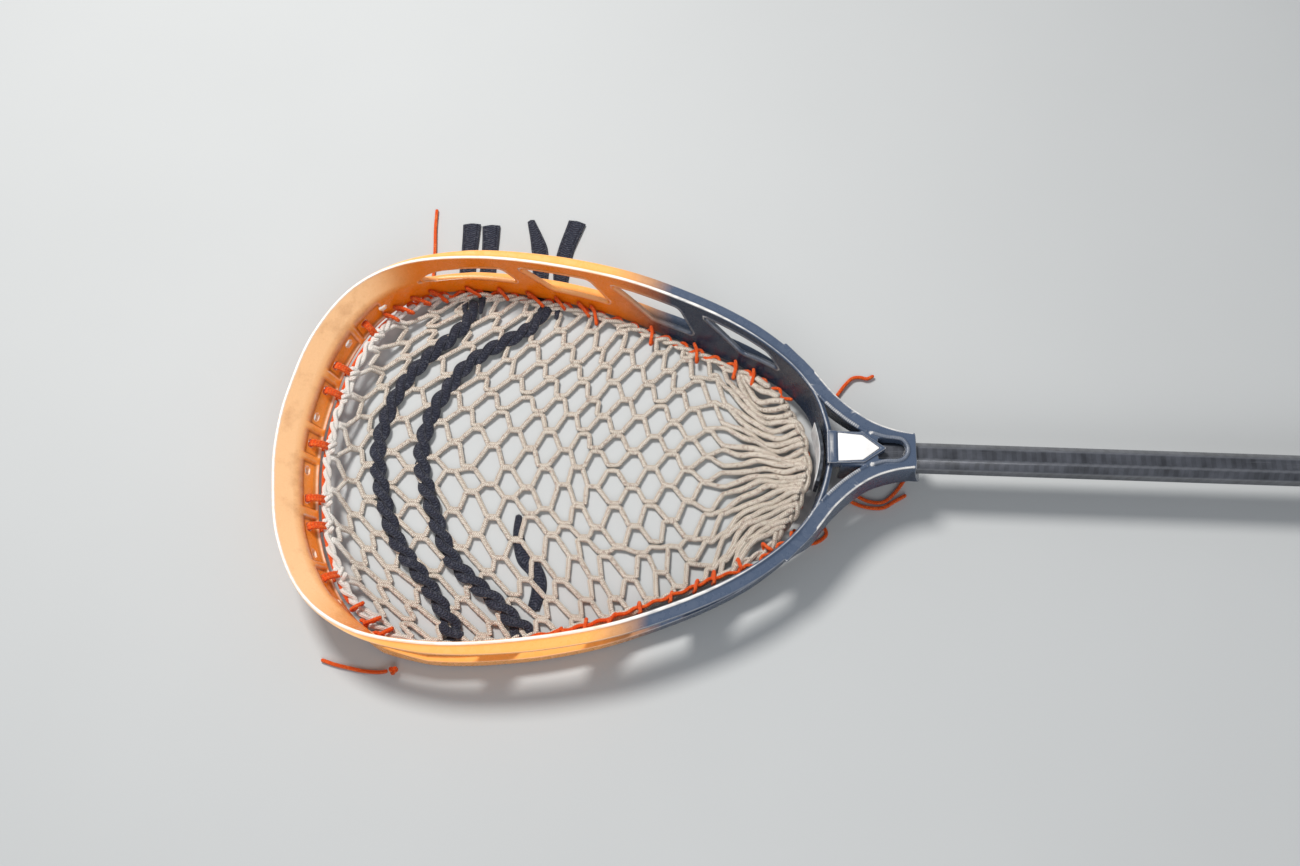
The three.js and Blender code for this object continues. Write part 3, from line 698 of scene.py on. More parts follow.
def hole_at(index):
    """A scoop hole's middle, the direction it is pierced in, the rim's direction and the wall there."""
    point, along, out = (v[0] for v in rim_at(index * HOLE_PITCH))
    wall = wall_at(point[0])
    middle = on_wall(index * HOLE_PITCH, wall["inner"] * HOLE_RUN, wall["bottom"] * HOLE_DROP)[0]
    return middle, unit(out * PIERCED[0] + UP * PIERCED[1]), along, wall


def hole_cutter(index):
    middle, facing, along, _ = hole_at(index)
    half_long, half_short = HOLE_SIZE[0] / 2, HOLE_SIZE[1] / 2
    outline = rounded_corners(rectangle(half_long, -half_short, half_short), half_short, 6)
    return prism(outline, -12, 12, (along, np.cross(facing, along), facing), middle)


# ---------- throat and socket ----------
def arm_path(side):
    """An arm's outer edge from above, the way inward from it, its share of the run, and its top."""
    path = evenly(spline([(x, side * y, 0) for x, y in ARM_OUTER]), 1.5)
    tangent = direction(path)
    inward = np.stack([tangent[:, 1], -tangent[:, 0], 0 * path[:, 0]], 1) * side
    share = travelled(path) / travelled(path)[-1]
    return path, inward, share, mix(*ARM_TOP, ease(share / 0.75))


def arm_body(side):
    path, inward, share, top = arm_path(side)
    deepening = mix(*ARM_BOTTOM, ease(share / 0.3))
    bottom = mix(deepening, SOCKET["bottom"], ease((share - 0.3) / 0.5))
    under = top - ARM_FLANGE
    corners = [
        (0, top), (ARM_WIDTH, top), (ARM_WIDTH, under), (ARM_WALL, under), (ARM_WALL, bottom), (0, bottom)]
    section = np.stack([np.stack([share * 0 + n, z], 1) for n, z in corners], 1)
    rings = path[:, None] + inward[:, None] * section[..., :1] + UP * (section[..., 1:] + RIM_Z)
    return skin(rings, travelled(path))


def arm_edges(side):
    """The top of an arm: its outer edge and the line of the lip on its inner edge."""
    path, inward, _, top = arm_path(side)
    outer = path + UP * (RIM_Z + top[:, None])
    lip = outer + inward * (ARM_WIDTH - 1.1) - UP * 0.2
    keep = (lip[:, 0] > 398) & (np.abs(lip[:, 1]) > TRAY["narrow"] + 1)
    return outer, lip[keep]


def arm_lip(side):
    """The light raised lip along an arm's inner edge."""
    line = arm_edges(side)[1]
    return sweep(line, circle(1.35, 12), scale=rounded_tips(line, 1.3))


def slot_arc(margin=0.0):
    """The thumb slot's round end, towards the mouth."""
    half = SLOT["half"] + margin
    angle = np.linspace(-math.pi / 2, math.pi / 2, 25)
    return np.stack([SLOT["end"] - SLOT["half"] + half * np.cos(angle), half * np.sin(angle)], 1)


def slot_cutter():
    start, half = SLOT["start"], SLOT["half"]
    return prism([(start, -half), *slot_arc(), (start, half)], SHAFT_Z, RIM_Z + 10)


def slot_lip_line():
    """Round the slot's end, from one side of the badge to the other."""
    one_side = [(436, -TRAY["narrow"] - 1), (446, -SLOT["half"] - 1.4)]
    other_side = [(x, -y) for x, y in one_side[::-1]]
    path = [*one_side, *slot_arc(1.0)[2:-2:3], *other_side]
    return evenly(spline([(x, y, RIM_Z + SOCKET["top"] + 0.1) for x, y in path]), 1.2)


def slot_lip():
    """A raised lip round the slot."""
    line = slot_lip_line()
    return sweep(line, circle(1.5, 12), scale=rounded_tips(line, 1.5))


def tray_outline(inset):
    """The home-plate shape. An inset brings in its long sides, and its two ends by more."""
    wide, narrow = TRAY["wide"] - inset, TRAY["narrow"] - inset
    start, shoulder = TRAY["start"] + 4 * inset, TRAY["shoulder"] - inset / 2
    apex = TRAY["apex"] - 2.6 * inset
    return [(start, -wide), (shoulder, -narrow), (apex, 0), (shoulder, narrow), (start, wide)]


def tray_body(inset, low, high, radius=0.8):
    return prism(rounded_corners(tray_outline(inset), radius), low + RIM_Z, high + RIM_Z)


def shaft_corners(margin):
    """The octagon's corners, as (y, z) round the tube."""
    half, grow = SHAFT_HALF, 0.41 * margin
    quarter = [(half["y"] + margin, half["flat_z"] + grow), (half["flat_y"] + grow, half["z"] + margin)]
    upper = quarter + [(-a, b) for a, b in quarter[::-1]]
    return np.array(upper + [(-a, -b) for a, b in upper])


def tube_rings(margin, radius, places):
    """The octagon with rounded corners, standing at each place along the shaft."""
    outline = rounded_corners(shaft_corners(margin), radius, 6)
    return [np.insert(outline, 0, x, axis=1) for x in places]


def shaft_prism(margin, start, end):
    """A length of the octagon with slightly hollow sides, for cutting bores."""
    corners = shaft_corners(margin)
    points = []
    for a, b in zip(corners, np.roll(corners, -1, 0)):
        middle = (a + b) / 2
        points += [a, middle * (1 - SHAFT_HALF["hollow"] / np.linalg.norm(middle))]
    return prism(points, start, end, AXES_X, UP * SHAFT_Z)


def mouth_cutter():
    """A round bar lying across the stick trims the mouth, which ends further out below than above."""
    roll = MOUTH["roll"]  # about the bar's own length: it only sets where its facets fall
    axes = ((math.cos(roll), 0, -math.sin(roll)), (math.sin(roll), 0, math.cos(roll)), (0, 1, 0))
    origin = (SOCKET["end"] + MOUTH["radius"] - MOUTH["bite"], 0, RIM_Z + SOCKET["top"])
    return prism(circle(MOUTH["radius"], 120), -45, 45, axes, origin)


def socket_body():
    """The socket's block, its sides flared a little at the mouth."""
    x = np.linspace(SOCKET["start"], SOCKET["end"] + 8, 40)
    half, top, bottom = SOCKET["half"], SOCKET["top"] + RIM_Z, SOCKET["bottom"] + RIM_Z
    outline = rounded_corners(rectangle(half, bottom, top), 3, 6)
    flare = 1 + 0.035 * ease((x - 458) / 16)
    rings = np.zeros((len(x), len(outline), 3))
    rings[..., 0] = x[:, None]
    rings[..., 1] = outline[:, 0] * flare[:, None]
    rings[..., 2] = outline[:, 1]
    return skin(rings, x)


def screw_cutter(radius):
    return prism(circle(radius, 24), -15, 15, AXES_Z, (SCREW["x"], 0, RIM_Z + SOCKET["bottom"]))


def throat_object():
    """Arms, socket and tray in one, with their edges rounded as moulded."""
    obj = new_object("throat", socket_body())
    for body in (arm_body(1), arm_body(-1)):
        combine(obj, body, "UNION")
    combine(obj, slot_cutter(), "DIFFERENCE")
    combine(obj, tray_body(0, TRAY["bottom"], TRAY["top"]), "UNION")
    recess = tray_body(BADGE_INSET, TRAY["top"] - BADGE_RECESS, TRAY["top"] + 5, 0.5)
    bore = shaft_prism(GAP, SHAFT_START - GAP, SOCKET["end"] + 60)
    for cutter in (bore, mouth_cutter(), screw_cutter(SCREW["shank"] + GAP), recess):
        combine(obj, cutter, "DIFFERENCE")
    for body in (arm_lip(1), arm_lip(-1), slot_lip()):
        combine(obj, body, "UNION")
    apply_modifier(obj, "REMESH", mode="VOXEL", voxel_size=0.55 * MM)
    apply_modifier(obj, "SMOOTH", factor=0.5, iterations=4)
    apply_modifier(obj, "DECIMATE", ratio=0.3)
    return obj


def head_frame():
    obj = new_object("goalie_head", rim_body())
    openings = [window_cutter(corners, side) for side in (1, -1) for corners in WINDOWS]
    combine(obj, join(openings + [hole_cutter(i) for i in HOLES]), "DIFFERENCE")
    for side in (1, -1):
        for corners in WINDOWS:
            combine(obj, window_lip(corners, side), "UNION")
    combine(obj, throat_object(), "UNION")
    mark_head(obj)
    soften(obj, 50)
    piece(obj, head_plastic(), ["head_frame"])


def vertex_arrays(obj):
    """A mesh's points in millimetres and its normals."""
    data = obj.data
    points, normals = np.zeros(len(data.vertices) * 3), np.zeros(len(data.vertices) * 3)
    data.vertices.foreach_get("co", points)
    data.vertices.foreach_get("normal", normals)
    return points.reshape(-1, 3) / MM - ORIGIN, normals.reshape(-1, 3)


def convexity(obj):
    """How sharply the surface bends at each vertex: positive on a ridge, negative in a hollow."""
    points, normals = vertex_arrays(obj)
    edges = np.zeros(len(obj.data.edges) * 2, int)
    obj.data.edges.foreach_get("vertices", edges)
    a, b = edges.reshape(-1, 2).T
    step = points[b] - points[a]
    long = np.maximum(np.linalg.norm(step, axis=1), 1e-6)
    bend, count = np.zeros(len(points)), np.zeros(len(points))
    np.add.at(bend, a, -(step * normals[a]).sum(1) / long)
    np.add.at(bend, b, (step * normals[b]).sum(1) / long)
    np.add.at(count, a, 1)
    np.add.at(count, b, 1)
    return bend / np.maximum(count, 1)


def set_attribute(obj, name, values):
    attribute = obj.data.attributes.new(name, "FLOAT", "POINT")
    attribute.data.foreach_set("value", np.clip(values, 0, 1).astype(np.float32))


def nearest(points, targets, chunks):
    """For each point, which target is nearest and how far off it is. Takes the points in chunks."""
    which, square = [], []
    for part in np.array_split(points, chunks):
        squares = ((part[:, None] - targets) ** 2).sum(2)
        which.append(squares.argmin(1))
        square.append(squares.min(1))
    return np.concatenate(which), np.sqrt(np.concatenate(square))


def throat_highlight(points, normals):
    """Painted highlight: how much each point lies on the bright lines of the throat, the arms' edges and
    the lips, where they face up.
    """
    lines = [slot_lip_line()]
    for side in (1, -1):
        outer, lip = arm_edges(side)
        lines += [outer, lip[5:-5]]
    _, away = nearest(points, np.concatenate(lines), 20)
    return (1 - ease((away - 1.0) / 0.6)) * ease((normals[:, 2] + 0.1) / 0.4)


def mark_head(obj):
    """Marks where the head is smoke-coloured, where painted light makes it paler (a lit copy on faces
    turned up or out, and a painted highlight with some real bleaching on the scoop), where it is dirty,
    where painted shade darkens its hollows, and where edges get a pale painted highlight with some real
    wear.
    """
    points, normals = vertex_arrays(obj)
    bead = RIM[::3, :2].astype(np.float32)
    beside, _ = nearest(points[:, :2].astype(np.float32), bead, 60)
    point, _, out = rim_at(travelled(RIM)[::3][beside])
    n = ((points - point) * out)[:, :2].sum(1)
    drop = points[:, 2] - RIM_Z
    x = points[:, 0]
    scoop = 1 - ease((x - 40) / 70)
    # painted light: the flange's top, faces turned up and faces turned out get the pale lit copy
    flange = (drop > -6) * ease((n - 0.5) / 2)
    upward = ease((normals[:, 2] - 0.1) / 0.8)
    outside = ease(((normals * out).sum(1) - 0.2) / 0.5)
    set_attribute(obj, "fade", ease((x - 222) / 82))
    set_attribute(obj, "pale", np.maximum.reduce([flange * 0.9, upward * 0.8, outside * 0.75]))
    # painted highlight with some real bleaching: the scoop's faces turned up
    set_attribute(obj, "bleach", scoop * ease((drop + 25) / 16) * upward)
    set_attribute(obj, "dirt", scoop * ease((drop + 24) / 8) * (1 - ease((drop + 3) / 2.5)))
    bend = convexity(obj)
    # painted shade in the hollows, where the surface bends inward
    set_attribute(obj, "grime", ease((-bend - 0.03) / 0.09) * (1 - ease((x - 190) / 60)) * (drop < -4))
    thin = ease((x - 300) / 70)  # the pale line on the crest, a painted highlight with some real wear, narrows towards the throat
    crest = (drop > -1.1) * (1 - ease((np.abs(n) - 0.7 + 0.75 * thin) / (0.9 - 0.4 * thin))) * (x < 412)
    lit = np.zeros(len(points))
    throat = (x > 396) & (drop > -4)
    lit[throat] = throat_highlight(points[throat], normals[throat])
    # painted highlight with some real wear on convex ridges, the crest and the throat's edges
    ridge = ease((bend - 0.08) / 0.2)
    set_attribute(obj, "edge", np.maximum.reduce([crest * (0.95 - 0.3 * thin), ridge * 0.85, lit * 0.8]))


# ---------- fittings ----------
def throat_badge():
    low = TRAY["top"] - BADGE_RECESS + GAP
    obj = new_object("home_plate_badge", tray_body(BADGE_INSET + GAP, low, low + BADGE_THICKNESS, 0.6))
    apply_modifier(obj, "BEVEL", width=0.22 * MM, segments=3, limit_method="ANGLE")
    soften(obj)
    piece(obj, badge_plastic(), ["throat_badge"])


def ball_stop():
    """Foam on the throat's wall, with a thin pale skin on its face."""
    distance = THROAT + np.linspace(-25, 25, 60)
    back = wall_round(distance)["inner"] - 2 * GAP
    for name, front, rear, top, bottom, squareness, material in (
        ("ball_stop_foam", -2.7, 0.0, -6.2, -28.8, 9, foam()),
        ("ball_stop_skin", -3.5, -2.8, -6.0, -29.0, 6, foam_skin()),
    ):
        profile = oblong(rear - front, top - bottom, 32, squareness)
        line = on_wall(distance, back + (front + rear) / 2, (top + bottom) / 2)
        ends = 0.985 + 0.015 * rounded_tips(line, 3)
        piece(new_object(name, sweep(line, profile, scale=ends)), material)
    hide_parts("ball_stop")


def shaft_body():
    """The open tube: its outside from end to end, then its bore back again."""
    between = np.arange(SHAFT_START + 4, SHAFT_END - 3, 6.0)
    x = np.concatenate([[SHAFT_START, SHAFT_START + 0.5], between, [SHAFT_END - 0.5, SHAFT_END]])
    outer, inner = tube_rings(0, 1.5, x), tube_rings(-SHAFT_WALL, 1.5, x[::-1])
    for ring in (outer[0], outer[-1]):
        ring[:, 1:] *= 0.97  # the ends' outer edges are broken
    rings = np.stack(outer + inner) + UP * SHAFT_Z
    distances = np.concatenate([x, x[-1] + (x[-1] - x[::-1]) + 2]) - x[0]
    return skin(rings, distances, closed=True)


def shaft():
    obj = new_object("carbon_shaft", shaft_body(), 30)
    combine(obj, screw_cutter(SCREW["shank"] + GAP), "DIFFERENCE")
    points, _ = vertex_arrays(obj)
    _, away = nearest(points[:, 1:] - (0, SHAFT_Z), shaft_corners(0), 1)
    set_attribute(obj, "edge", 1 - ease(away / 1.8))
    piece(obj, carbon(), ["shaft"])


def end_cap():
    """Rubber cap with grip ribs round it and a domed end."""
    x = np.arange(SHAFT_END - CAP_OVERLAP, BUTT_END + 0.01, 0.5)
    ribs = 0.35 * (np.cos((x - x[0]) * 2 * math.pi / 4) > 0) * (x > x[0] + 4) * (x < BUTT_END - 8)
    dome = 2.2 * (1 - np.sqrt(1 - np.clip((x - BUTT_END + 4) / 4.2, 0, 1) ** 2))
    margins = CAP_WALL + GAP - 0.35 + ribs - dome
    rings = np.concatenate([tube_rings(margin, 2.5, [place]) for margin, place in zip(margins, x)])
    obj = new_object("butt_cap", skin(rings + UP * SHAFT_Z, x), 50)
    combine(obj, shaft_prism(GAP, SHAFT_END - CAP_OVERLAP - 1, SHAFT_END + GAP), "DIFFERENCE")
    piece(obj, rubber(), ["end_cap"])


def head_screw():
    """Pan-head screw from below, with a cross recess."""
    top = RIM_Z + SOCKET["bottom"] - GAP
    shank, head, height = SCREW["shank"], SCREW["head"], SCREW["head_height"]
    turns = range(2 * SCREW["length"] - 4)
    threads = [(shank - 0.35 * (i % 2), SCREW["length"] - 0.5 * i) for i in turns]
    dome = [(head * math.cos(a), -0.4 - (height - 0.4) * math.sin(a)) for a in np.linspace(0, 1.45, 9)]
    profile = [(0.2, SCREW["length"] + 0.8), *threads, (shank, 0), (head, 0), *dome]
    rings = np.stack([np.insert(circle(r, 32), 2, z, axis=1) for r, z in profile])
    place = (SCREW["x"], 0, top)
    obj = new_object("socket_screw", skin(rings + place, np.array([z for _, z in profile])), 35)
    for axes in (AXES_Z, ((0, 1, 0), (1, 0, 0), (0, 0, 1))):
        slot = prism(rectangle(2.2, -0.45, 0.45), -height - 1, -height + 1.1, axes, place)
        combine(obj, slot, "DIFFERENCE")
    piece(obj, steel(), ["head_screw"])


# ---------- the net ----------
NET = {  # "x" places the columns; the last four say how the rows lie at a given x
    "rows": range(-12, 12), "columns": range(-16, 21), "joint": 8.0, "pair": 1.5, "height": 2.8,
    "x": ((-16, -66), (-8, 32), (-6, 57), (-4, 90), (-2, 121), (0, 151), (2, 180), (4, 207), (6, 232),
          (8, 261), (10, 290), (12, 319), (14, 346), (16, 369), (18, 390), (20, 410)),
    "row_gap": ((30, 13.4), (90, 13.6), (150, 15.0), (260, 14.6), (312, 12.4), (334, 8.6), (352, 5.6),
                (372, 4.7), (400, 4.3)),
    "middle": ((60, 20), (110, 17), (160, 12), (300, 12), (400, 3)),
    "bow": ((30, 40), (90, 34), (150, 25), (210, 22), (260, 18), (300, 9), (360, 0)),
    "fold": ((60, 8), (103, -2), (138, -12), (189, -40), (234, -61), (258, -66), (320, -58), (400, -20)),
}


def track(name, x):
    places, values = zip(*NET[name])
    return np.interp(x, places, values)


def net_point(row, column):
    """Where the net's rows and columns cross, seen from above."""
    x = track("x", column)
    y = track("middle", x) + track("row_gap", x) * row
    x = x + track("bow", x) * (np.abs(y) / 100) ** 1.8
    fold = track("fold", x)
    pull = 0.78 * ease((x - 80) / 60) * (1 - ease((x - 290) / 50))
    return x, y + pull * (fold - y) * np.exp(-(((y - fold) / 15) ** 2))


BORDER_POINTS = 720


def net_border():
    """The net's outline inside the lips, from the scoop's middle round, at its height there."""
    distance = np.arange(BORDER_POINTS) * RIM_LENGTH / BORDER_POINTS
    x = rim_at(distance)[0][:, 0]
    wall = wall_at(x)
    border = on_wall(distance, wall["inner"] - 5.8 - 4 * ease((x - 370) / 25), 0)
    border[:, 2] = np.maximum(5, RIM_Z + wall["bottom"] + 1.5)
    return border


NET_CENTRE = np.array([200.0, 0.0])


def net_reach(points):
    """How far out to the border each point is (1 on it), and the border's height in that direction."""
    border = net_border()
    out = border[:, :2] - NET_CENTRE
    angle, radius = np.arctan2(out[:, 1], out[:, 0]), np.linalg.norm(out, axis=1)
    order = np.argsort(angle)
    spot = points[:, :2] - NET_CENTRE
    here = np.arctan2(spot[:, 1], spot[:, 0])
    reach = np.interp(here, angle[order], radius[order], period=2 * math.pi)
    height = np.interp(here, angle[order], border[order, 2], period=2 * math.pi)
    return np.linalg.norm(spot, axis=1) / reach, height


def net_height(points):
    """The net lies low and rises to its border."""
    share, edge = net_reach(points)
    return mix(NET["height"], edge, ease((share - 0.9) / 0.1))


def averaged(line, count):
    """Each point moved to the mean of the points round it."""
    reach = count // 2
    padded = np.pad(line, ((reach, reach), (0, 0)), "edge")
    return np.stack([np.convolve(axis, np.full(count, 1 / count), "valid") for axis in padded.T], 1)


def stretches(inside):
    """Where each unbroken run of points inside starts and ends."""
    change = np.diff(np.concatenate([[0], inside.astype(int), [0]]))
    return zip(np.flatnonzero(change == 1), np.flatnonzero(change == -1))


def bunching(line, row):
    """Near the throat the net is gathered: its strands lie side by side and arch over one another."""
    x = line[:, 0]
    near = ease((x - 335) / 25)
    line[:, 1] += near * (2.0 * np.sin(x / 9.0 + 0.45 * row) + 0.7 * np.sin(x / 3.9 + 2.1 * row))
    arch = 2.4 + 2.2 * np.sin(x / 8.0 + 1.3 * row)
    line[:, 2] += near * arch + 0.4 * np.sin(travelled(line) / 9 + row)
    return line


def net_strands():
    """Each strand zigzags between two rows, doubled with its neighbour at every joint."""
    random = np.random.default_rng(7)
    strands = []
    for row in NET["rows"]:
        route = []
        for column in NET["columns"]:
            low = (row + column) % 2 == 0
            x, y = net_point(row if low else row + 1, column)
            gathered = ease((x - 332) / 24)
            x, y = x + random.normal(0, 0.8), y + random.normal(0, 0.7)
            half = NET["joint"] / 2 * (1 - 0.4 * ease((x - 295) / 35))
            y += mix(NET["pair"], 0.36 * track("row_gap", x), gathered) * (1 if low else -1)
            if route:
                before, joint = np.array(route[-1]), np.array([x - half, y, 0])
                route += [tuple(mix(before, joint, share)) for share in (0.2, 0.8)]
            route += [(x - half, y, 0), (x + half, y, 0)]
        line = evenly(spline(route, per_span=8), 1.3)
        line = mix(line, averaged(line, 17), ease((line[:, 0] - 318) / 26)[:, None])
        inside = net_reach(line)[0] < 1
        line[:, 2] = net_height(line)
        line = bunching(line, row)
        strands += [line[a:b] for a, b in stretches(inside) if b - a > 5]
    return strands


def selvage():
    """The net's edge: two strands twisted loosely round one another, all the way round."""
    border = evenly_closed(net_border(), 1.2)
    s = np.arange(len(border)) / len(border) * 2 * math.pi
    side = np.cross(direction(border, closed=True), UP)
    bodies = []
    for turn in (0, math.pi):
        wave = 42 * s + turn + 1.5 * np.sin(9 * s)
        sideways = 1.7 * np.cos(wave) + 0.8 * np.sin(31 * s)
        shift = side * sideways[:, None] + UP * (1.3 * np.sin(wave))[:, None]
        bodies.append(sweep(border + shift, oblong(3.5, 3.1, 10, 2.0), closed=True))
    return bodies


def edge_knots():
    """Thick knots in the net's edge where the scoop's ties end."""
    bodies = []
    for index in STRUNG_HOLES:
        centre = net_border()[round(index * HOLE_PITCH / RIM_LENGTH * BORDER_POINTS) % BORDER_POINTS]
        _, along, out = (v[0] for v in rim_at(index * HOLE_PITCH))
        t = np.linspace(0, 2 * math.pi, 60, endpoint=False)
        loop = (along * (4.4 * np.cos(t))[:, None] + out * (2.4 * np.sin(2 * t) - 1)[:, None]
                + UP * (1.8 * np.sin(3 * t) + 0.8)[:, None])
        bodies.append(sweep(centre + loop, oblong(3.7, 3.3, 10, 2.0), up=UP + out * 0.05, closed=True))
    return bodies


def net_body():
    bodies = []
    random = np.random.default_rng(3)
    for line in net_strands():
        knit = 1 + 0.06 * np.sin(travelled(line) * 2 * math.pi / 2.6) + random.normal(0, 0.045, len(line))
        thick = 1.06 + 0.26 * ease((line[:, 0] - 325) / 30)
        scale = thick * knit * rounded_tips(line, 1.6)
        bodies.append(sweep(line, oblong(3.7, 3.1, 10, 2.0), scale=scale))
    return join(bodies + selvage() + edge_knots())


def mesh_pocket(material):
    obj = new_object("knotted_mesh", net_body(), CORD_ANGLE)
    points, _ = vertex_arrays(obj)
    share, _ = net_reach(points)
    set_attribute(obj, "bleach", ease((share - 0.93) / 0.06) * (1 - ease((points[:, 0] - 60) / 70)))
    piece(obj, material, ["mesh_pocket"])


# ---------- laces ----------
LACE_SQUARE = 3.4  # how square a lace's flat section is
PLY = {"width": 7.4, "period": 31.0}


def lace_plies(route, phase):
    """Two flat plies twisted round one another, as a folded lace runs through the net."""
    line = evenly(spline([(x, y, LACE_Z) for x, y in route]), 1.1)
    s = travelled(line)
    side = unit(np.cross(direction(line), UP))
    plies = []
    for half_turn in (0, math.pi):
        angle = s * 2 * math.pi / PLY["period"] + phase + half_turn
        gathered = ease((s - s[-1] + 24) / 20)  # flat and side by side where they go under the left rail
        apart = (3.0 + 3.0 * (1 - ease(s / 26))) * (1 - 0.55 * gathered)  # and parted at the right rail
        shift = side * (apart * np.cos(angle))[:, None] + UP * (1.25 * np.sin(angle))[:, None]
        profile = oblong(PLY["width"], LACE_THICKNESS, 14, LACE_SQUARE)
        lean = -0.32 * np.sin(angle + 0.6)
        plies.append(sweep(line + shift, profile, turn=lean, scale=rounded_tips(line, 2.5)))
    return join(plies)


FRONT_LACE = [
    (141, -141), (137, -134), (126, -115), (108, -92), (89, -69), (74, -36), (64, 2), (66, 30), (76, 62),
    (94, 88), (112, 108), (121, 121), (126, 139),
]
REAR_LACE = [
    (191, -136.5), (184, -129), (172, -116), (150, -98), (133, -83), (121, -62), (109, -34), (98, 0),
    (101, 34), (112, 60), (126, 82), (150, 101), (171, 115), (187, 135),
]


def lace_tail_route(start, border, under_rail, *outside):
    """From the net's border down under the lower rail and out over the floor."""
    half = np.mean([start, border], axis=0)
    beside = mix(np.array(under_rail), np.array(outside[0]), 0.3)
    return [(x, y, LACE_Z) for x, y in (start, half, border)] + [
        (x, y, LACE_FLOOR_Z) for x, y in (under_rail, beside, *outside)]


LACE_TAILS = {
    "front_lace_tail_1": lace_tail_route(
        (118.2, 128.2), (117.2, 141.5), (117, 148), (116, 161), (115.5, 178), (115, 196), (114.5, 217)),
    "front_lace_tail_2": lace_tail_route(
        (131, 127.4), (131.8, 142.5), (132, 149), (132.5, 161), (132.5, 178), (132, 196), (131, 216)),
    "rear_lace_tail_1": lace_tail_route(
        (180.2, 128.4), (178.6, 137.6), (178, 144), (177.5, 157), (176.5, 172), (174, 192), (164, 222)),
    "rear_lace_tail_2": lace_tail_route(
        (193.2, 124.5), (194, 135.4), (194, 142), (194, 155), (194, 172), (196, 192), (204, 222)),
}
POCKET_TAIL = [(x, y, LACE_FLOOR_Z) for x, y in (
    (177, -42), (178, -58), (184, -76), (193, -86), (197, -98), (194, -116))]


def free_cord(name, body, material):
    """A loose end, made a piece with its finish in place of its part."""
    obj = piece(new_object(name + "_end", body, CORD_ANGLE), material, [name])


def lace_end(name, route, material, gathered, width, tip):
    """A flat lace, gathered where it leaves the net, then its full width, and another at its cut tip."""
    line = evenly(spline(route), 1.2)
    s = travelled(line) / travelled(line)[-1]
    widths = np.interp(s, (0, 0.45, 0.7, 1), (gathered, width, width, tip))
    stretch = np.stack([widths, np.ones(len(s))], 1)
    profile = oblong(1.0, LACE_THICKNESS, 16, LACE_SQUARE) * stretch[:, None]
    body = sweep(line, profile, scale=rounded_tips(line, 1.2), turn=0.10 * np.sin(s * 9))
    free_cord(name, body, material)


# ---------- strings ----------
def on_ground(points, lift=0.0):
    return [(x, y, STRING_Z + lift) for x, y in points]


STRING_TAILS = {
    "sidewall_tail_left": on_ground([(89, 147), (88, 160), (87, 175), (86, 190), (84, 210), (83, 230)]),
    "sidewall_tail_right": [(94.2, -165, 5.5), (88, -165.5, 2.6)]
    + on_ground([(76, -165), (64, -163), (54, -161), (44, -158)]),
    "throat_tail_left": [(402, 45, 9), (410, 53, 5.5)]
    + on_ground([(419, 65), (426, 75), (432, 81), (438, 82), (443, 81), (449, 84)], THROAT_TAIL_LIFT),
    "throat_tail_right_1": [(421, -10, 12), (427, -14, 6)]
    + on_ground([(434, -19), (442, -22.5), (452, -22.5), (461, -15), (469, -4)], THROAT_TAIL_LIFT),
    "throat_tail_right_2": [(416, -17, 12), (423, -21, 6)]
    + on_ground([(432, -25), (442, -27.5), (452, -27), (461, -21.5), (470, -16)], THROAT_TAIL_LIFT),
    "throat_tail_loop": [(384, -47, 4)]
    + on_ground([(391, -54), (398, -57), (405, -54), (409, -49), (407, -44), (402, -41)]),
}


def string_body(line, up=UP, closed=False):
    s = travelled(line)
    weave = 1 + 0.045 * np.sin(s * 2 * math.pi / 2.2)
    tips = 1 if closed else rounded_tips(line, STRING / 2)
    return sweep(line, circle(STRING / 2, 12), up=up, closed=closed, scale=weave * tips)


def string_ring(route, up):
    """A turn of string whose end meets its start."""
    return string_body(evenly(spline(route, closed=True), STRING_STEP)[:-1], up=up, closed=True)


def string_end(name, route, material):
    body = string_body(evenly(spline(route), TAIL_STEP))
    free_cord(name, body, material)


def string_piece(name, bodies, material, stands_for):
    piece(new_object(name, join(bodies), CORD_ANGLE), material, [stands_for])


def hole_loop(index):
    """Out of a hole, down round the lip and back up behind it."""
    middle, facing, along, wall = hole_at(index)
    inner, bottom = wall["inner"], wall["bottom"]
    lip = [on_wall(index * HOLE_PITCH, inner + a, bottom + b)[0]
           for a, b in ((-2.6, 7), (-3.4, 1), (-0.8, -2.6), (8.4, 0.2))]
    return string_ring([middle + facing, *lip, middle - facing * 6.4, middle - facing * 3], along)


def hole_tie(index, offset):
    """From a strung hole down to the net's edge."""
    middle, facing, along, wall = hole_at(index)
    inner, bottom = wall["inner"], wall["bottom"]
    ends = [on_wall(index * HOLE_PITCH, inner + a, bottom + b)[0]
            for a, b in ((-2.9, 7), (-5, 4), (-7.5, 1.2))]
    route = np.array([middle - facing * 2, middle + facing * 1.6, *ends]) + along * offset
    route[-1] += along * offset * 0.6
    return string_body(evenly(spline(route), STRING_STEP), up=along)


def top_string(material):
    """Runs along under the scoop's lip, with a loop and a doubled tie at each strung hole."""
    distance = np.linspace(-6.2, 6.2, 120) * HOLE_PITCH
    wall = wall_round(distance)
    line = on_wall(distance, wall["inner"] - 3.4, wall["bottom"] + 1.2)
    loops = [hole_loop(i) for i in STRUNG_HOLES]
    ties = [hole_tie(i, offset) for i in STRUNG_HOLES for offset in (-1.5, 1.5)]
    bodies = [string_body(evenly(line, STRING_STEP)), *loops, *ties]
    string_piece("scoop_string", bodies, material, "top_string")


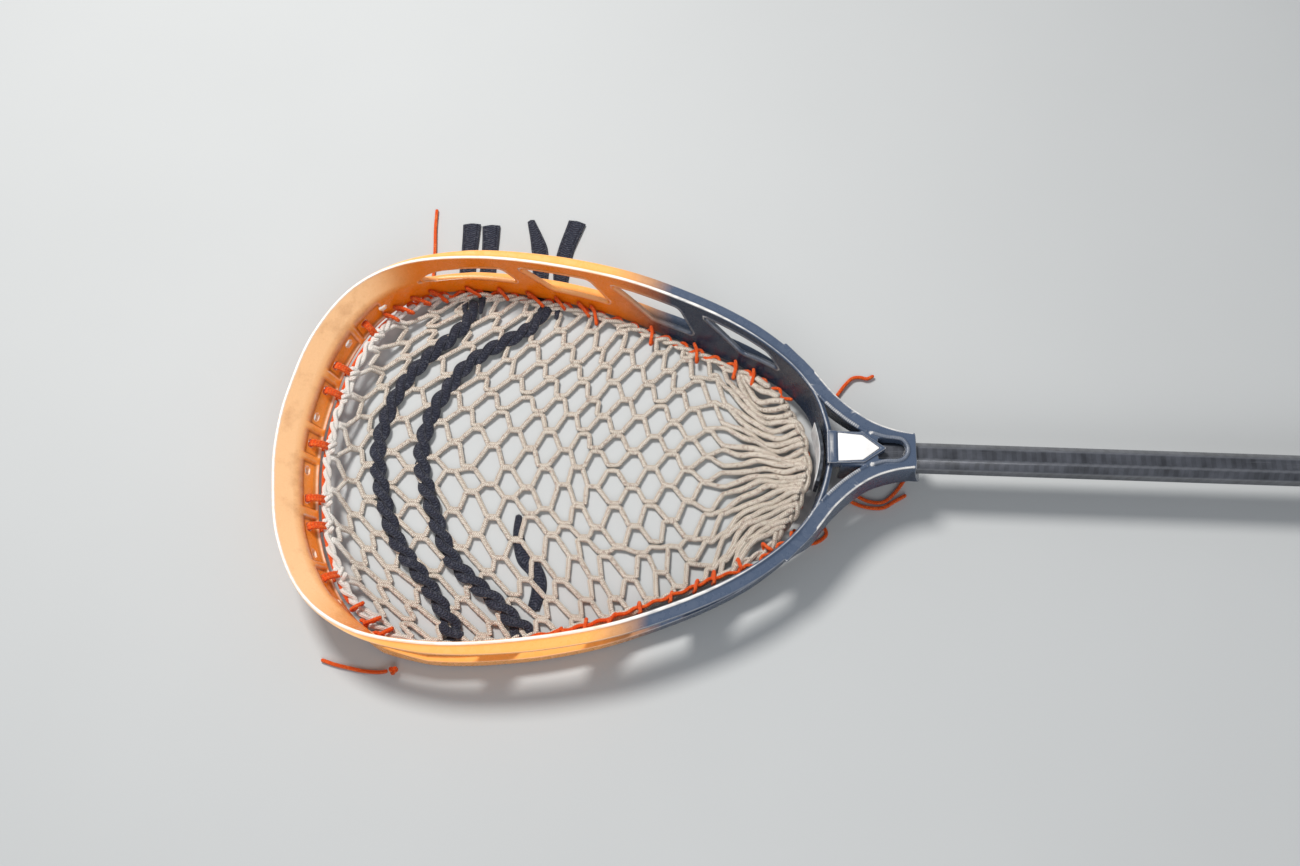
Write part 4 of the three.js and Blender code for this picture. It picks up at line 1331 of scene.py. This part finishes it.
def rail_stitch(distance, reach, lean):
    """A turn of string from under the rail round the net's edge, and back."""
    wall = wall_round(distance)
    along = rim_at(distance)[1][0]
    steps = ((-1.8, 9), (-4.6, 7.5), (-5.2 - reach, 4.4), (-4.4 - 0.6 * reach, 1.6), (-2.2, 3.2))
    lip = [on_wall(distance, wall["inner"] + a, wall["bottom"] + b)[0] for a, b in steps]
    slide = np.array([-1.8, -0.4, 0.9, 1.4, -0.4]) + lean * np.array([0, 0.4, 1, 0.7, 0.1])
    return string_ring(np.array(lip) + along * slide[:, None], along)


RAIL_STITCHES = {  # by side: x, how far in each reaches, how far it leans towards the throat
    "left": ((48, 5, 4), (58, 6, 9), (74, 4, 10), (90, 6, 10), (120, 2, 8), (147, 3, 5), (171, 5, 12),
             (195, 3, 6), (214, 4, 8), (225, 9, 5), (277, 9, 2), (313, 8, 5), (346, 8, 3), (360, 6, 3)),
    "right": ((56, 5, 5), (70, 5, 9), (84, 4, 8), (212, 3, 8), (234, 5, 5), (252, 3, 9), (276, 4, 4),
              (298, 3, 6), (316, 4, 8), (330, 5, 7), (350, 5, 5), (371, 5, 2)),
}


def sidewall_string(word, material):
    """Tucked under the net's edge on the left; on the right it weaves by the rail and leans in midway."""
    side = 1 if word == "left" else -1
    distance = side * np.linspace(distance_at(66), distance_at(388), 400)
    x = rim_at(distance)[0][:, 0]
    weave = 2.3 * np.sin(distance * 2 * math.pi / 15)
    if word == "left":
        offset, height = weave - 3.6, 2.0
    else:
        inward = 5.2 * ease((x - 175) / 25) * (1 - ease((x - 330) / 30))
        offset, height = np.where(inward > 1, 0.3 * weave, weave) - 0.4 - inward, 5.5
    wall = wall_at(x)
    line = on_wall(distance, wall["inner"] + offset, wall["bottom"] + height)
    bodies = [string_body(evenly(line, STRING_STEP))]
    for place, reach, lean in RAIL_STITCHES[word]:
        bodies.append(rail_stitch(side * distance_at(place), reach, lean * side))
    string_piece("rail_string_" + word, bodies, material, "sidewall_string_" + word)


def throat_string(material):
    """Crosses the bottom of the throat under the net."""
    distance = THROAT + np.linspace(-44, 44, 80)
    wall = wall_round(distance)
    weave = 1.6 * np.sin(distance * 2 * math.pi / 16)
    line = on_wall(distance, wall["inner"] - 9.5 + weave, wall["bottom"] - 1.5 - weave)
    body = string_body(evenly(line, STRING_STEP))
    string_piece("throat_cross_string", [body], material, "throat_string")


def string_knot(material):
    """An overhand knot: a cord that winds round itself."""
    t = np.linspace(0, 2 * math.pi, 90, endpoint=False)
    x, y = np.sin(t) + 1.6 * np.sin(2 * t), np.cos(t) - 1.6 * np.cos(2 * t)
    line = np.stack([x, y, -1.1 * np.sin(3 * t)], 1) * (0.85, 0.8, 1.0) + (98.2, -164.4, 5.6)
    body = string_body(evenly_closed(line, 0.5), up=(0.02, 0.05, 1), closed=True)
    string_piece("stopper_knot", [body], material, "string_knot")


# ---------- camera, floor and light ----------
def add_camera():
    """Looks down on the pocket from the stick's right, with a slight roll."""
    azimuth, elevation, roll = (math.radians(a) for a in (-4.49, 66.53, -2.23))
    level = math.cos(elevation)
    look = Vector((math.sin(azimuth) * level, math.cos(azimuth) * level, -math.sin(elevation)))
    right = Vector((math.cos(azimuth), -math.sin(azimuth), 0))
    above = right.cross(look)
    turned = right * math.cos(roll) + above * math.sin(roll)
    upward = above * math.cos(roll) - right * math.sin(roll)
    camera = linked("camera", bpy.data.cameras.new("camera"))
    camera.data.lens, camera.data.sensor_width = 31.95, 36
    camera.data.clip_start = 0.05
    stands = Matrix.Translation((-0.41795, -0.3284, 0.8263))
    camera.matrix_world = stands @ Matrix((turned, upward, -look)).transposed().to_4x4()
    bpy.context.scene.camera = camera


def add_light(name, place, target, size, power, colour=(1, 1, 1)):
    data = bpy.data.lights.new(name, "AREA")
    data.shape, data.size, data.energy, data.color = "DISK", size, power, colour
    light = linked(name, data)
    light.location = place
    light.rotation_euler = (Vector(target) - Vector(place)).to_track_quat("-Z", "Y").to_euler()


def add_studio():
    data = bpy.data.meshes.new("floor")
    data.from_pydata([(x, y, 0) for x, y in rectangle(4, -4, 4)], [], [(0, 1, 2, 3)])
    floor = linked("floor", data)
    floor.data.materials.append(floor_finish())
    world = bpy.data.worlds.new("soft_sky")
    world.use_nodes = True
    background = world.node_tree.nodes["Background"].inputs
    background["Color"].default_value = (0.86, 0.92, 1.0, 1)
    background["Strength"].default_value = 0.36
    bpy.context.scene.world = world
    target = (-0.45, 0, 0)
    add_light("key", (-1.0, 0.7, 1.5), target, 0.45, 29, (1.0, 0.98, 0.95))
    add_light("fill", (-0.2, -1.2, 1.1), target, 1.0, 7)
    bpy.context.scene.view_settings.view_transform = "Standard"


# ---------- the assembly ----------
def build():
    add_camera()
    add_studio()
    lace = braid("navy_lace", (0.008, 0.009, 0.018, 1), (0.030, 0.034, 0.055, 1), (0.09, 0.095, 0.12, 1),
                 pitch=2.2, turns=6, soil=0.2, sheen=0.15)
    string = braid("orange_string", (0.80, 0.060, 0.004, 1), (1.0, 0.145, 0.008, 1), (1.0, 0.27, 0.06, 1),
                   pitch=1.9, turns=4, soil=0.1, sheen=0.1)
    cord = braid("mesh_cord", (0.48, 0.40, 0.32, 1), (0.93, 0.85, 0.74, 1), (0.34, 0.21, 0.16, 1),
                 pitch=1.5, turns=3, soil=0.22, sheen=0.2, bleached_and_sunlit=(0.90, 0.87, 0.82, 1))
    for name, route in LACE_TAILS.items():
        tip = 6 if name == "rear_lace_tail_1" else 15.5
        lace_end(name, route, lace, 3, LACE_WIDTH + 1.5, tip)
    lace_end("pocket_lace_tail", POCKET_TAIL, lace, 4.5, LACE_WIDTH, 9)
    for name, route in STRING_TAILS.items():
        string_end(name, route, string)
    head_frame()
    throat_badge()
    ball_stop()
    shaft()
    end_cap()
    head_screw()
    mesh_pocket(cord)
    for name, route, phase in (("front_lace", FRONT_LACE, 0.4), ("rear_lace", REAR_LACE, 2.0)):
        obj = new_object(name + "_twisted", lace_plies(route, phase), CORD_ANGLE)
        piece(obj, lace, [name])
    top_string(string)
    for word in ("left", "right"):
        sidewall_string(word, string)
    throat_string(string)
    string_knot(string)


build()
